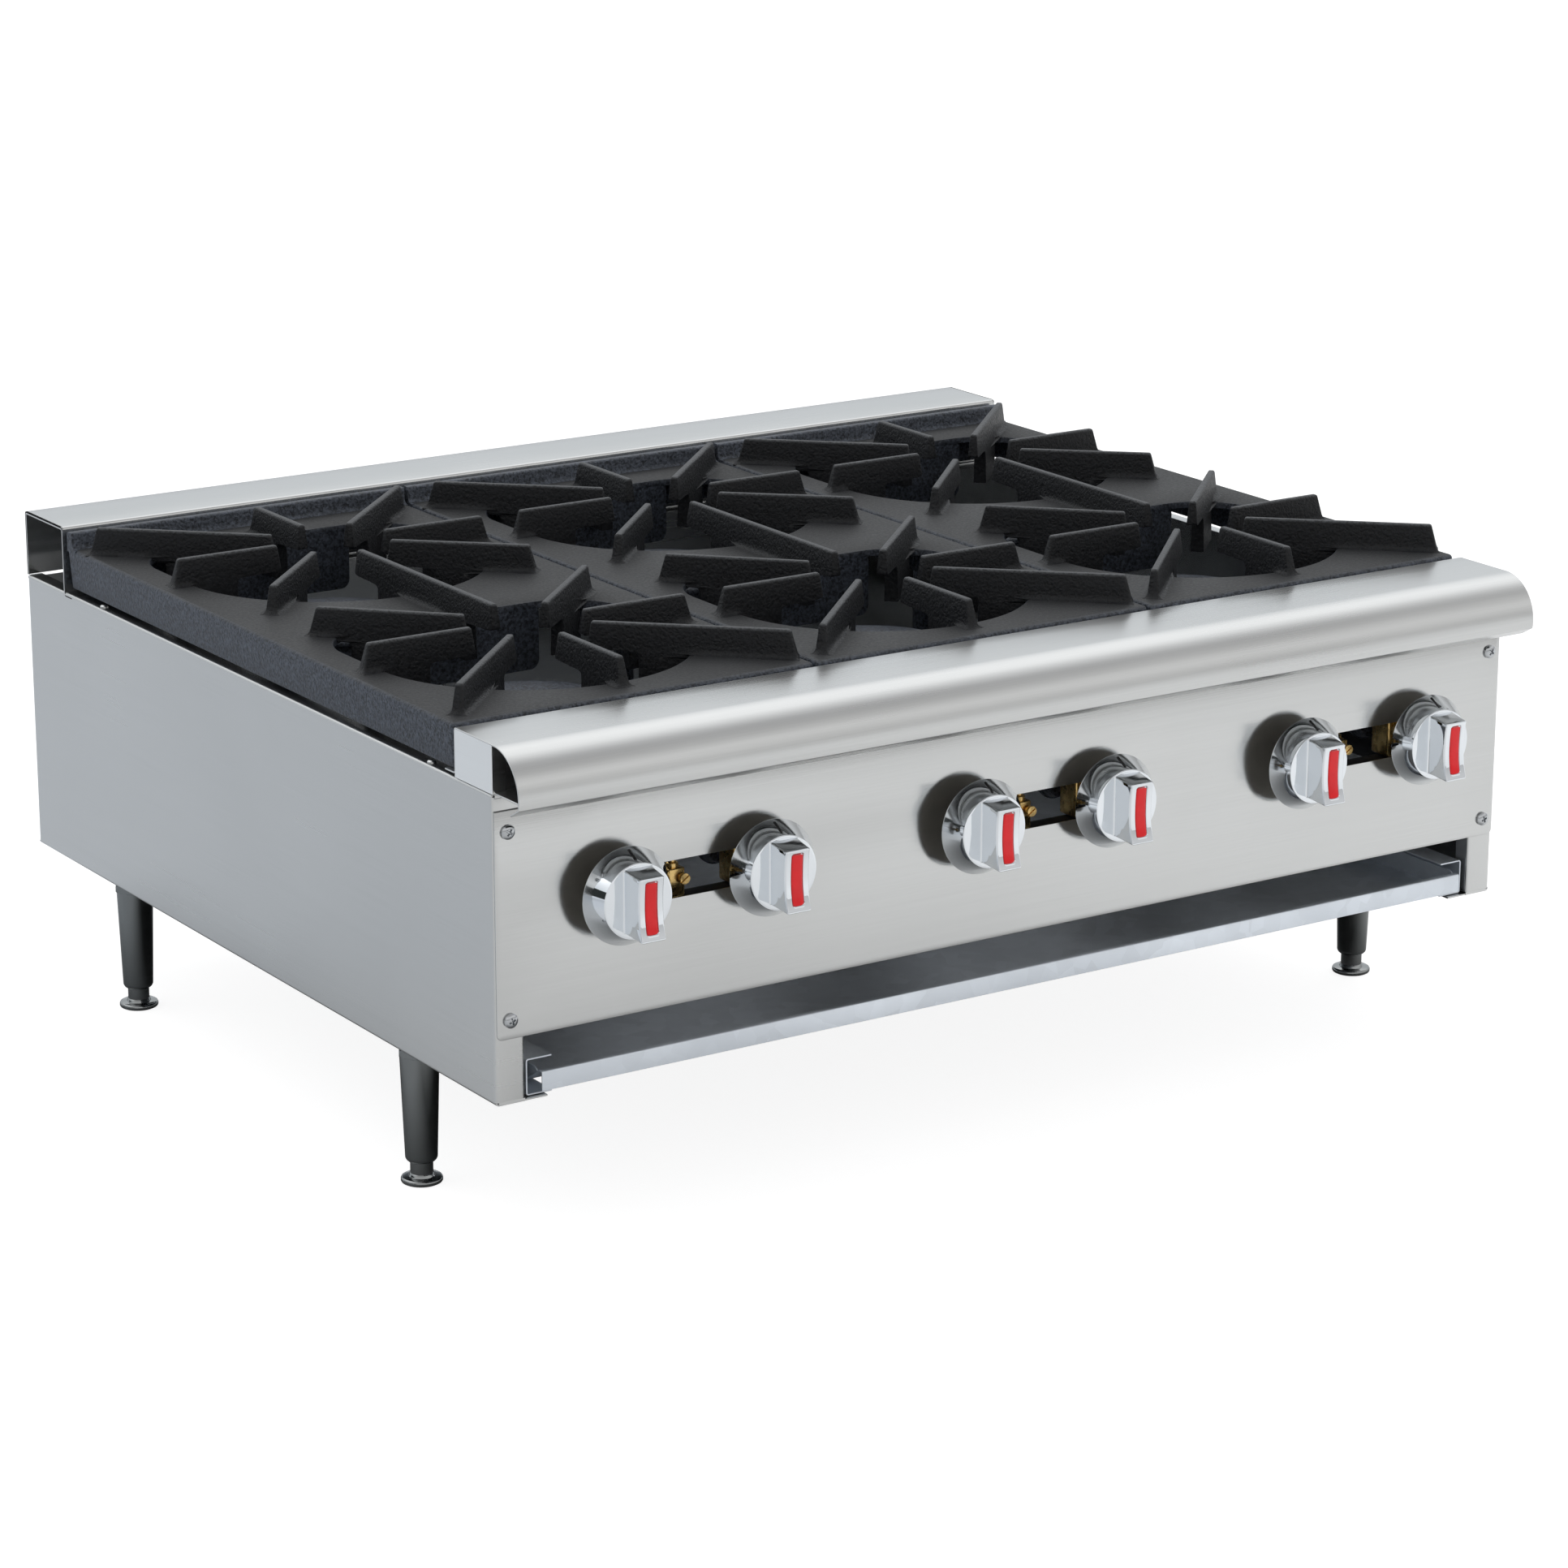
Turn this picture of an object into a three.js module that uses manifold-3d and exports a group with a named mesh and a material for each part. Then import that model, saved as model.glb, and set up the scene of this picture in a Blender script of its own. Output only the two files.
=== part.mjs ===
// Countertop gas range with six burners: a stainless steel case on four adjustable legs, three
// cast-iron grates, six burners fed by six valves on one gas manifold, and a pull-out crumb tray.
// Millimetres, +Z up. The origin is on the floor, under the middle of the range.
// +X is the user's right hand, -Y is the front.
import * as THREE from 'three';
import { mergeVertices } from 'three/addons/utils/BufferGeometryUtils.js';
import Module from 'manifold-3d';

const wasm = await Module();
wasm.setup();

// Driving dimensions
const WIDTH = 914.4;             // over the side panels, 36 inches
const BODY_DEPTH = 752;          // front flange to rear wall
const KNOB_REACH = 53;           // knobs in front of the front flange
const INLET_REACH = 20;          // gas nipple behind the rear wall
const LEG_HEIGHT = 105;          // floor to the underside of the case
const SIDE_HEIGHT = 227.5;       // side panels
const SHEET = 1.2;               // stainless sheet
const GAP = 0.3;                 // between pieces that touch
const BAY = 304.8;               // one grate and two burners, 12 inches

// Places measured from the front flange (y) and from the underside of the case (z)
const FRONT = -(BODY_DEPTH + INLET_REACH - KNOB_REACH) / 2;
const REAR = FRONT + BODY_DEPTH;
const BASE = LEG_HEIGHT;
const HALF = WIDTH / 2;
const TOP = BASE + SIDE_HEIGHT;
const yAt = (fromFront) => FRONT + fromFront;
const zAt = (aboveBase) => BASE + aboveBase;

// Side panels and front opening
const FLANGE_WIDTH = 23.6;       // front return flange
const FLANGE_RETURN = 14;        // its inner lip
const TOP_FLANGE = 12;
const BOTTOM_FLANGE = 42;
const REAR_FLANGE = 16;

// Bullnose rail
const NOSE_TOP = zAt(263.9);
const NOSE_REAR = yAt(50.5);
const NOSE_FRONT = yAt(-38.1);
const NOSE_RADIUS = 34;
const NOSE_APRON = zAt(224.5);
const NOSE_HEM = 11.5;
const LEDGE_TOP = zAt(231.5);    // the grates rest on this
const LEDGE_WIDTH = 13.5;

// Backguard
const GUARD_TOP = zAt(280.5);
const GUARD_DEPTH = 70;

// Control panel
const PANEL_HALF = 456;
const PANEL_LOW = zAt(48.5);
const PANEL_HIGH = zAt(214.7);
const PANEL_CORNER = 4;
const SLOT_HEIGHT = 28;
const SLOT_MIDDLE = zAt(142);
const SLOT_OVERRUN = 12;         // slot ends past the stem axes
const SCREW_X = 445.5;
const SCREW_HEIGHTS = [zAt(62.2), zAt(199.5)];
const SCREW_RADIUS = 5.3;

// Knobs, stems and valves
const KNOB_PITCH = 121;
const KNOB_OFFSET = 6.3;         // a pair's middle, right of the bay's middle
const KNOB_AXIS = zAt(142.3);
const KNOB_BACK = 16;            // skirt edge to front flange
const HUB_RADIUS = 8;
const HUB_REACH = 11;            // boss behind the skirt's edge
const BORE_DEPTH = 12;           // stem's end, in front of the skirt's edge
const SKIRT_RADIUS = 36;
const DISC_RADIUS = 27.5;
const SKIRT_DEPTH = 16;
const BAR_HALF = 10;
const BAR_LENGTH = 49;
const BAR_REACH = 37;
const BAR_HOLLOW = 3;
const INLAY_HALF = 4.3;
const BAR_LEAN = 3.4;            // the bar's top end leans back by this much
const INLAY_LOW_END = 5.2;       // bar's lower end to the inlay's pocket
const INLAY_HIGH_END = 3;        // and from the upper end
const POCKET_DEPTH = 1.8;
const INLAY_PROUD = 0.3;         // inlay's face above the bar's
const STEM_PLAY = 0.4;           // round the stem, in the valve and in the knob
const STEM_RADIUS = 4.8;
const VALVE_HALF = 11;
const VALVE_FRONT = yAt(14);
const VALVE_BACK = yAt(38);
const VALVE_RISE = 13;           // body above its stem's axis
const VALVE_NOSE_RADIUS = 9;
const VALVE_NOSE_FRONT = yAt(4);
const VALVE_BORE_END = yAt(26);
const OUTLET_RADIUS = 6;
const OUTLET_END = yAt(54);
const MANIFOLD_RADIUS = 13.3;    // 3/4 inch pipe
const MANIFOLD_AXIS = zAt(108);
const MANIFOLD_Y = yAt(28);
const PIPE_OVERRUN = 40;         // pipe past the leftmost valve
const INLET_X = 410;
const INLET_BORE_RADIUS = 10;
const INLET_BORE_DEPTH = 60;

// Grates
const GRATE_HALF = 150.8;
const GRATE_FRONT = yAt(55.5);
const GRATE_REAR = yAt(677);
const DECK_TOP = zAt(265);
const DECK_THICKNESS = 6;
const SKIRT_WALL = 5.5;
const SKIRT_LOW = LEDGE_TOP + GAP;
const FIN_TOP = zAt(286.5);
const FIN_WIDTH = 6.6;
const FIN_INNER = 48;            // pot fingers end this far from the burner's axis
const FIN_STEP = 84;             // their lower ribs end here
const FIN_TIP_DRAFT = 2.5;       // their inner ends lean out towards the foot
const FIN_TIP_LOW = zAt(267);
const FIN_UNDERSIDE = zAt(265.5);
const RIB_LOW = zAt(236);
const RIB_OVERLAP = 8;           // rib under the deck, past the opening's edge
const OPENING_RADIUS = 122;
const OPENING_REAR = 114;        // straight rear edge of an opening
const OPENING_CORNER = 55;
const APRON_HALF = 77;           // wall below that edge
const APRON_LOW = zAt(211);
const REAR_WALL_TOP = zAt(278);

// Burners
const BURNER_FRONT = yAt(209.5);
const BURNER_REAR = BURNER_FRONT + BAY;
const HEAD_RADIUS = 72;
const HEAD_TOP = zAt(221);
const TUBE_RADIUS = 16;
const TUBE_MOUTH = yAt(58);
const PILOT_OFFSET = 7.5;        // pilot valve, right of the bay's middle
const PILOT_SWING = 30;          // its tube swings this far right to pass the front burner
const PILOT_HALF = 7;
const PILOT_FRONT = yAt(16);
const PILOT_BACK = yAt(31);
const PILOT_HIGH = zAt(143);
const PILOT_NECK_RADIUS = 5;
const PILOT_NECK_TOP = zAt(152);
const PILOT_SCREW_RADIUS = 4;
const PILOT_SCREW_SIDE = 5;
const PILOT_SCREW_Z = zAt(136);
const PILOT_TUBE_RADIUS = 3.2;
const PILOT_RUN = zAt(178);      // the tube's level run
const PILOT_TIP = zAt(222);
const RAIL_TOP = zAt(92);
const RAIL_HEIGHT = 30;
const RAIL_DEPTH = 28;
const LUG_OFFSET = 60;           // burner foot, behind the burner's axis

// Crumb tray and its runners
const TRAY_HALF = 422;
const TRAY_LIP = 14.5;
const TRAY_LOW = zAt(6);
const TRAY_FLOOR = zAt(4.6);
const TRAY_RIM = zAt(21.5);
const TRAY_REAR = yAt(700);
const RUNNER_WEB = 430.5;
const RUNNER_INNER = 409.5;
const RUNNER_LOW = zAt(1.7);
const RUNNER_HIGH = zAt(29);

// Legs and feet
const LEG_X = 439;
const LEG_FRONT = yAt(143);
const LEG_REAR = yAt(612);
const COLLAR_RADIUS = 17;
const COLLAR_HEIGHT = 6.7;
const LEG_UPPER_RADIUS = 14.6;
const LEG_LOWER_RADIUS = 12;
const LEG_END = 17;
const FOOT_RADIUS = 15.5;
const FOOT_STEM_RADIUS = 8.5;
const LEG_BORE_RADIUS = 8.9;
const LEG_BORE_TOP = 76;
const FOOT_STEM_TOP = 60;
const STUD_RADIUS = 4.5;

const range = new THREE.Group();

const finish = (color, roughness, metalness) =>
  new THREE.MeshStandardMaterial({ color, roughness, metalness });

const finishes = {
  stainless: () => finish(0xc3c4c4, 0.35, 1),
  chrome: () => finish(0xe6e8ea, 0.06, 1),
  galvanised: () => finish(0xc4cad3, 0.4, 0.9),
  darkSteel: () => finish(0x3c4043, 0.5, 0.8),
  castIron: () => finish(0x22262b, 0.7, 0.3),
  brass: () => finish(0xb48a3c, 0.3, 1),
  redPlastic: () => finish(0xd8202c, 0.25, 0),
  nickel: () => finish(0x6b7072, 0.25, 1),
};

function addPiece(name, geometry, material) {
  const mesh = new THREE.Mesh(geometry, material);
  mesh.name = name;
  range.add(mesh);
  return mesh;
}

// Solids: a closed geometry becomes a manifold solid, is joined or cut, and comes back.

function toSolid(geometry) {
  const plain = geometry.clone();
  plain.deleteAttribute('normal');
  plain.deleteAttribute('uv');
  const merged = mergeVertices(plain, 1e-4);
  const corners = merged.index.array;
  const kept = [];
  for (let i = 0; i < corners.length; i += 3) {
    const [a, b, c] = [corners[i], corners[i + 1], corners[i + 2]];
    if (a !== b && b !== c && c !== a) kept.push(a, b, c);
  }
  return new wasm.Manifold(new wasm.Mesh({
    numProp: 3,
    vertProperties: Float32Array.from(merged.attributes.position.array),
    triVerts: Uint32Array.from(kept),
  }));
}

function toGeometry(solid) {
  const mesh = solid.getMesh();
  const geometry = new THREE.BufferGeometry();
  geometry.setAttribute('position', new THREE.BufferAttribute(mesh.vertProperties, 3));
  geometry.setIndex(new THREE.BufferAttribute(mesh.triVerts, 1));
  return geometry;
}

const join = (parts) =>
  toGeometry(parts.map(toSolid).reduce((whole, part) => whole.add(part)));

const cut = (body, tools) =>
  toGeometry(tools.map(toSolid).reduce((whole, tool) => whole.subtract(tool), toSolid(body)));

// Basic forms

const block = (x0, x1, y0, y1, z0, z1) =>
  new THREE.BoxGeometry(x1 - x0, y1 - y0, z1 - z0)
    .translate((x0 + x1) / 2, (y0 + y1) / 2, (z0 + z1) / 2);

const shapeOf = (points) =>
  new THREE.Shape(points.map(([a, b]) => new THREE.Vector2(a, b)));

function prism(shape, depth, curveSegments = 8) {
  return new THREE.ExtrudeGeometry(shape, { depth, bevelEnabled: false, curveSegments });
}

// A section given as (y, z), extruded from x0 to x1.
function alongX(points, x0, x1) {
  const turn = new THREE.Matrix4().set(0, 0, 1, x0, 1, 0, 0, 0, 0, 1, 0, 0, 0, 0, 0, 1);
  return prism(shapeOf(points), x1 - x0).applyMatrix4(turn);
}

// A shape given in (x, z), extruded from y0 to y1.
function alongY(shape, y0, y1, curveSegments) {
  return prism(shape, y1 - y0, curveSegments).rotateX(Math.PI / 2).translate(0, y1, 0);
}

// A profile of (radius, height) turned about the Z axis, from its lower end on the axis.
function turned(profile, sides) {
  const rising = profile[0][1] < profile[profile.length - 1][1];
  const upwards = rising ? profile : [...profile].reverse();
  const points = upwards.map(([radius, height]) => new THREE.Vector2(radius, height));
  return new THREE.LatheGeometry(points, sides).rotateX(Math.PI / 2);
}

const rod = (radius, y0, y1, x, z, sides = 12) =>
  new THREE.CylinderGeometry(radius, radius, y1 - y0, sides)
    .translate(x, (y0 + y1) / 2, z);

const post = (radius, z0, z1, x, y, sides = 12) =>
  new THREE.CylinderGeometry(radius, radius, z1 - z0, sides)
    .rotateX(Math.PI / 2)
    .translate(x, y, (z0 + z1) / 2);

// The outline of a folded sheet: a path and the same path set off to its left by the sheet.
function folded(path, thickness) {
  const heading = (a, b) => new THREE.Vector2(b[0] - a[0], b[1] - a[1]).normalize();
  const offset = path.map((point, i) => {
    const before = heading(path[Math.max(i - 1, 0)], path[Math.max(i, 1)]);
    const last = path.length - 1;
    const after = heading(path[Math.min(i, last - 1)], path[Math.min(i + 1, last)]);
    const mean = before.clone().add(after).normalize();
    const reach = thickness / mean.dot(before);
    return [point[0] - mean.y * reach, point[1] + mean.x * reach];
  });
  return [...path, ...offset.reverse()];
}

function roundedRectangle(x0, x1, z0, z1, radius) {
  const shape = new THREE.Shape();
  shape.moveTo(x0 + radius, z0);
  shape.lineTo(x1 - radius, z0);
  shape.absarc(x1 - radius, z0 + radius, radius, -Math.PI / 2, 0);
  shape.lineTo(x1, z1 - radius);
  shape.absarc(x1 - radius, z1 - radius, radius, 0, Math.PI / 2);
  shape.lineTo(x0 + radius, z1);
  shape.absarc(x0 + radius, z1 - radius, radius, Math.PI / 2, Math.PI);
  shape.lineTo(x0, z0 + radius);
  shape.absarc(x0 + radius, z0 + radius, radius, Math.PI, 1.5 * Math.PI);
  return shape;
}

// A tube of radius r along a smooth path through the given points.
function tubeAlong(points, radius, sides, steps) {
  const ring = [];
  for (let i = 0; i < sides; i += 1) {
    const turn = (2 * Math.PI * i) / sides;
    ring.push([radius * Math.cos(turn), radius * Math.sin(turn)]);
  }
  const path = new THREE.CatmullRomCurve3(points.map((p) => new THREE.Vector3(...p)));
  return new THREE.ExtrudeGeometry(shapeOf(ring), { steps, extrudePath: path });
}

// Case

function sidePanel(side) {
  const outer = side * HALF;
  const span = (width) => [outer, outer - side * width].sort((a, b) => a - b);
  const lipOuter = outer - side * FLANGE_WIDTH;
  const lip = [lipOuter, lipOuter + side * SHEET].sort((a, b) => a - b);
  const flangeTop = TOP - SHEET;
  const panel = join([
    block(...span(SHEET), FRONT, REAR, BASE, TOP),
    block(...span(FLANGE_WIDTH), FRONT, FRONT + SHEET, BASE, TOP),
    block(...lip, FRONT, FRONT + FLANGE_RETURN, BASE, TOP),
    block(...span(TOP_FLANGE), FRONT, REAR, flangeTop, TOP),
    block(...span(BOTTOM_FLANGE), FRONT, REAR, BASE, BASE + SHEET),
    block(...span(REAR_FLANGE), REAR - SHEET, REAR, BASE, TOP),
  ]);
  const holes = [LEG_FRONT, LEG_REAR].map((y) =>
    post(STUD_RADIUS + 0.7, BASE - 1, BASE + SHEET + 1, side * LEG_X, y, 8));
  return cut(panel, holes);
}

function backPanel() {
  const front = REAR - 2 * SHEET - 2 * GAP;
  const edge = HALF - SHEET - 0.5;
  const sheet = block(-edge, edge, front, front + SHEET, BASE + SHEET + GAP, TOP - SHEET - GAP);
  const inletHole = rod(MANIFOLD_RADIUS + 2, front - 5, front + 5, INLET_X, MANIFOLD_AXIS, 16);
  return cut(sheet, [inletHole]);
}

function backguard() {
  const front = REAR - GUARD_DEPTH;
  const low = TOP + GAP;
  const ledge = LEDGE_TOP - SHEET;
  const channel = folded([
    [REAR, low],
    [REAR, GUARD_TOP],
    [front, GUARD_TOP],
    [front, ledge],
    [front - LEDGE_WIDTH, ledge],
  ], SHEET);
  return join([alongX(channel, -HALF, HALF)]);
}

function bullnoseRail() {
  const low = TOP + GAP;
  const centreY = NOSE_FRONT + NOSE_RADIUS;
  const centreZ = NOSE_TOP - NOSE_RADIUS;
  const hemDrop = NOSE_HEM * Math.tan(Math.PI / 6);
  const path = [
    [NOSE_REAR + LEDGE_WIDTH, LEDGE_TOP],
    [NOSE_REAR, LEDGE_TOP],
    [NOSE_REAR, NOSE_TOP],
  ];
  const arcSteps = 10;
  for (let i = 0; i <= arcSteps; i += 1) {
    const turn = Math.PI / 2 + (Math.PI / 2) * (i / arcSteps);
    path.push([centreY + NOSE_RADIUS * Math.cos(turn), centreZ + NOSE_RADIUS * Math.sin(turn)]);
  }
  path.push([NOSE_FRONT, NOSE_APRON]);
  path.push([NOSE_FRONT + NOSE_HEM, NOSE_APRON - hemDrop]);
  const sheet = alongX(folded(path, SHEET), -HALF, HALF);
  const under = NOSE_TOP - SHEET / 2;
  const plateFront = yAt(-2);
  const endPlates = [-1, 1].map((side) => {
    const [x0, x1] = [side * HALF, side * (HALF - SHEET)].sort((a, b) => a - b);
    return block(x0, x1, plateFront, NOSE_REAR - SHEET / 2, low, under);
  });
  const web = yAt(2);
  const inside = HALF - FLANGE_WIDTH - 2;
  return join([
    sheet,
    ...endPlates,
    block(-HALF, HALF, web, web + SHEET, low, under),
    block(-inside, inside, web, web + SHEET, zAt(205), low + SHEET),
    block(-HALF, HALF, NOSE_FRONT + SHEET / 2, web + SHEET, low, low + SHEET),
  ]);
}

const bayMiddles = [-BAY, 0, BAY];
const knobPlaces = bayMiddles.flatMap((middle) => [
  middle + KNOB_OFFSET - KNOB_PITCH / 2,
  middle + KNOB_OFFSET + KNOB_PITCH / 2,
]);

function controlPanel() {
  const back = FRONT - GAP;
  const outline = roundedRectangle(-PANEL_HALF, PANEL_HALF, PANEL_LOW, PANEL_HIGH, PANEL_CORNER);
  const sheet = alongY(outline, back - SHEET, back, 3);
  const low = SLOT_MIDDLE - SLOT_HEIGHT / 2;
  const slots = bayMiddles.map((middle) => {
    const reach = KNOB_PITCH / 2 + SLOT_OVERRUN;
    const centre = middle + KNOB_OFFSET;
    return block(centre - reach, centre + reach, back - 5, back + 5, low, low + SLOT_HEIGHT);
  });
  return cut(sheet, slots);
}

// Pan-head screw on the control panel, with a cross recess.
function panelScrew(x, z) {
  const back = yAt(-GAP - SHEET - GAP);
  const head = turned([
    [0, 0],
    [SCREW_RADIUS, 0],
    [SCREW_RADIUS, 1.2],
    [SCREW_RADIUS - 1.6, 2.9],
    [0, 3.3],
  ], 16).rotateX(Math.PI / 2).translate(x, back, z);
  const recess = [
    block(x - 2.6, x + 2.6, back - 5, back - 1.6, z - 0.5, z + 0.5),
    block(x - 0.5, x + 0.5, back - 5, back - 1.6, z - 2.6, z + 2.6),
  ];
  return cut(head, [join(recess)]);
}

function trayRunner(side) {
  const inner = side * RUNNER_INNER;
  const web = side * RUNNER_WEB;
  const [f0, f1] = [inner, web].sort((a, b) => a - b);
  const [w0, w1] = [web, web - side * SHEET].sort((a, b) => a - b);
  const front = yAt(4);
  const rear = REAR - 30;
  return join([
    block(w0, w1, front, rear, RUNNER_LOW, RUNNER_HIGH),
    block(f0, f1, front, rear, RUNNER_LOW, RUNNER_LOW + SHEET),
    block(f0, f1, front, rear, RUNNER_HIGH - SHEET, RUNNER_HIGH),
  ]);
}

// Crumb tray: a pan whose front slopes up to a folded lip.
function crumbTray() {
  const sheet = 1;
  const lipFront = yAt(-4);
  const lipTop = TRAY_LOW + TRAY_LIP;
  const slopeTop = yAt(1);
  const slopeFoot = yAt(26);
  const floor = TRAY_FLOOR + sheet;
  const outside = [
    [lipFront, TRAY_LOW],
    [lipFront + sheet, TRAY_LOW],
    [lipFront + sheet, lipTop - sheet],
    [slopeTop - 0.4 * sheet, lipTop - sheet],
    [slopeFoot - 0.4 * sheet, TRAY_FLOOR],
    [TRAY_REAR, TRAY_FLOOR],
    [TRAY_REAR, TRAY_RIM],
    [slopeTop + 3, TRAY_RIM],
    [slopeTop, lipTop],
    [lipFront, lipTop],
  ];
  const inside = [
    [slopeTop, lipTop],
    [slopeFoot, floor],
    [TRAY_REAR - sheet, floor],
    [TRAY_REAR - sheet, TRAY_RIM + 1],
    [slopeTop, TRAY_RIM + 1],
  ];
  const hollow = TRAY_HALF - sheet;
  return cut(alongX(outside, -TRAY_HALF, TRAY_HALF), [alongX(inside, -hollow, hollow)]);
}

// Gas train

function manifold() {
  const left = knobPlaces[0] - PIPE_OVERRUN;
  const right = INLET_X + MANIFOLD_RADIUS;
  const rear = REAR + INLET_REACH;
  const along = new THREE.CylinderGeometry(MANIFOLD_RADIUS, MANIFOLD_RADIUS, right - left, 12)
    .rotateZ(Math.PI / 2)
    .translate((left + right) / 2, MANIFOLD_Y, MANIFOLD_AXIS);
  const back = rod(MANIFOLD_RADIUS, MANIFOLD_Y, rear, INLET_X, MANIFOLD_AXIS);
  const mouth = rod(INLET_BORE_RADIUS, rear - INLET_BORE_DEPTH, rear + 5, INLET_X, MANIFOLD_AXIS);
  return cut(join([along, back]), [mouth]);
}

const manifoldTop = MANIFOLD_AXIS + MANIFOLD_RADIUS + GAP;

function gasValve(x) {
  const high = KNOB_AXIS + VALVE_RISE;
  const body = join([
    block(x - VALVE_HALF, x + VALVE_HALF, VALVE_FRONT, VALVE_BACK, manifoldTop, high),
    rod(VALVE_NOSE_RADIUS, VALVE_NOSE_FRONT, VALVE_FRONT + 1, x, KNOB_AXIS),
    rod(OUTLET_RADIUS, VALVE_BACK - 1, OUTLET_END, x, KNOB_AXIS, 8),
  ]);
  const bore = rod(STEM_RADIUS + STEM_PLAY, VALVE_NOSE_FRONT - 4, VALVE_BORE_END, x, KNOB_AXIS);
  return cut(body, [bore]);
}

const valveStem = (x) =>
  rod(STEM_RADIUS, yAt(-KNOB_BACK - BORE_DEPTH) + 0.5, VALVE_BORE_END - 0.5, x, KNOB_AXIS);

// Pilot: a small valve block on the manifold with a slotted adjusting screw and a neck, and the
// thin tube that leaves it, passes under the front burner and ends between the bay's two burners.
function pilot(x) {
  const tipY = (BURNER_FRONT + BURNER_REAR) / 2;
  const neckY = (PILOT_FRONT + PILOT_BACK) / 2;
  const side = x + PILOT_SWING;
  const screwX = x + PILOT_SCREW_SIDE;
  const tube = tubeAlong([
    [x, neckY, PILOT_HIGH + 3],
    [x, neckY + 4, PILOT_NECK_TOP + 14],
    [x + 8, yAt(60), PILOT_RUN - 2],
    [side, yAt(120), PILOT_RUN],
    [side, tipY - 70, PILOT_RUN],
    [x + 8, tipY - 6, PILOT_RUN + 8],
    [x + 4, tipY, PILOT_TIP],
  ], PILOT_TUBE_RADIUS, 6, 14);
  const body = join([
    block(x - PILOT_HALF, x + PILOT_HALF, PILOT_FRONT, PILOT_BACK, manifoldTop, PILOT_HIGH),
    post(PILOT_NECK_RADIUS, PILOT_HIGH - 1, PILOT_NECK_TOP, x, neckY, 8),
    rod(PILOT_SCREW_RADIUS, PILOT_FRONT - 4, PILOT_FRONT + 1, screwX, PILOT_SCREW_Z, 10),
    tube,
  ]);
  const screwSlot = block(
    screwX - PILOT_SCREW_RADIUS - 1, screwX + PILOT_SCREW_RADIUS + 1,
    PILOT_FRONT - 5, PILOT_FRONT - 3, PILOT_SCREW_Z - 0.5, PILOT_SCREW_Z + 0.5);
  return cut(body, [screwSlot]);
}

// Burner: a round head on a venturi tube that starts in front of its valve's outlet, and a foot.
function burner(x, y, valveX) {
  const dome = HEAD_TOP;
  const head = turned([
    [0, dome],
    [30, dome - 0.6],
    [60, dome - 2],
    [HEAD_RADIUS, dome - 6],
    [HEAD_RADIUS, dome - 14],
    [HEAD_RADIUS - 12, dome - 20],
    [34, dome - 30],
    [20, dome - 38],
    [0, dome - 40],
  ], 20).translate(x, y, 0);
  const reach = y - TUBE_MOUTH;
  const turnY = y - Math.min(reach * 0.6, 120);
  const tube = tubeAlong([
    [valveX, TUBE_MOUTH, KNOB_AXIS],
    [valveX, TUBE_MOUTH + 20, KNOB_AXIS],
    [valveX, turnY, KNOB_AXIS + 4],
    [(valveX + x) / 2, (turnY + y) / 2 - 5, KNOB_AXIS + 14],
    [x, y - 12, dome - 52],
    [x, y + 2, dome - 32],
  ], TUBE_RADIUS, 8, 9);
  const lug = post(8, RAIL_TOP + GAP, dome - 10, x, y + LUG_OFFSET, 8);
  const mouth = rod(TUBE_RADIUS - 4, TUBE_MOUTH - 5, TUBE_MOUTH + 16, valveX, KNOB_AXIS);
  return cut(join([head, tube, lug]), [mouth]);
}

function burnerRail(headY) {
  const edge = HALF - SHEET - 0.6;
  const front = headY + LUG_OFFSET - RAIL_DEPTH / 2;
  const low = RAIL_TOP - RAIL_HEIGHT;
  const section = folded([
    [front + RAIL_DEPTH, low],
    [front + RAIL_DEPTH, RAIL_TOP],
    [front, RAIL_TOP],
    [front, low],
  ], 2);
  return join([alongX(section, -edge, edge)]);
}

// Knob, built with its axis on Z and its front upwards, then laid over to face -Y.

const toFront = (geometry, x) =>
  geometry.rotateX(Math.PI / 2).translate(x, yAt(-KNOB_BACK), KNOB_AXIS);

// The bar's front is hollowed along its length.
const barFront = (along) => BAR_REACH - BAR_HOLLOW * (1 - (2 * along / BAR_LENGTH) ** 2);

const spread = (start, end) => Array.from({ length: 7 }, (_, i) => start + ((end - start) * i) / 6);

// A section of the bar as (along, reach), between two curves that run the length of the bar.
// The front curve stops short of the upper end by the lean.
function barSection(start, end, lean, low, high) {
  return [
    ...spread(start, end).map((along) => [along, low(along)]),
    ...spread(start, end - lean).reverse().map((along) => [along, high(along)]),
  ];
}

const BAR_END = BAR_LENGTH / 2;
const POCKET_START = -BAR_END + INLAY_LOW_END;
const POCKET_END = BAR_END - BAR_LEAN - INLAY_HIGH_END;

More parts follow.
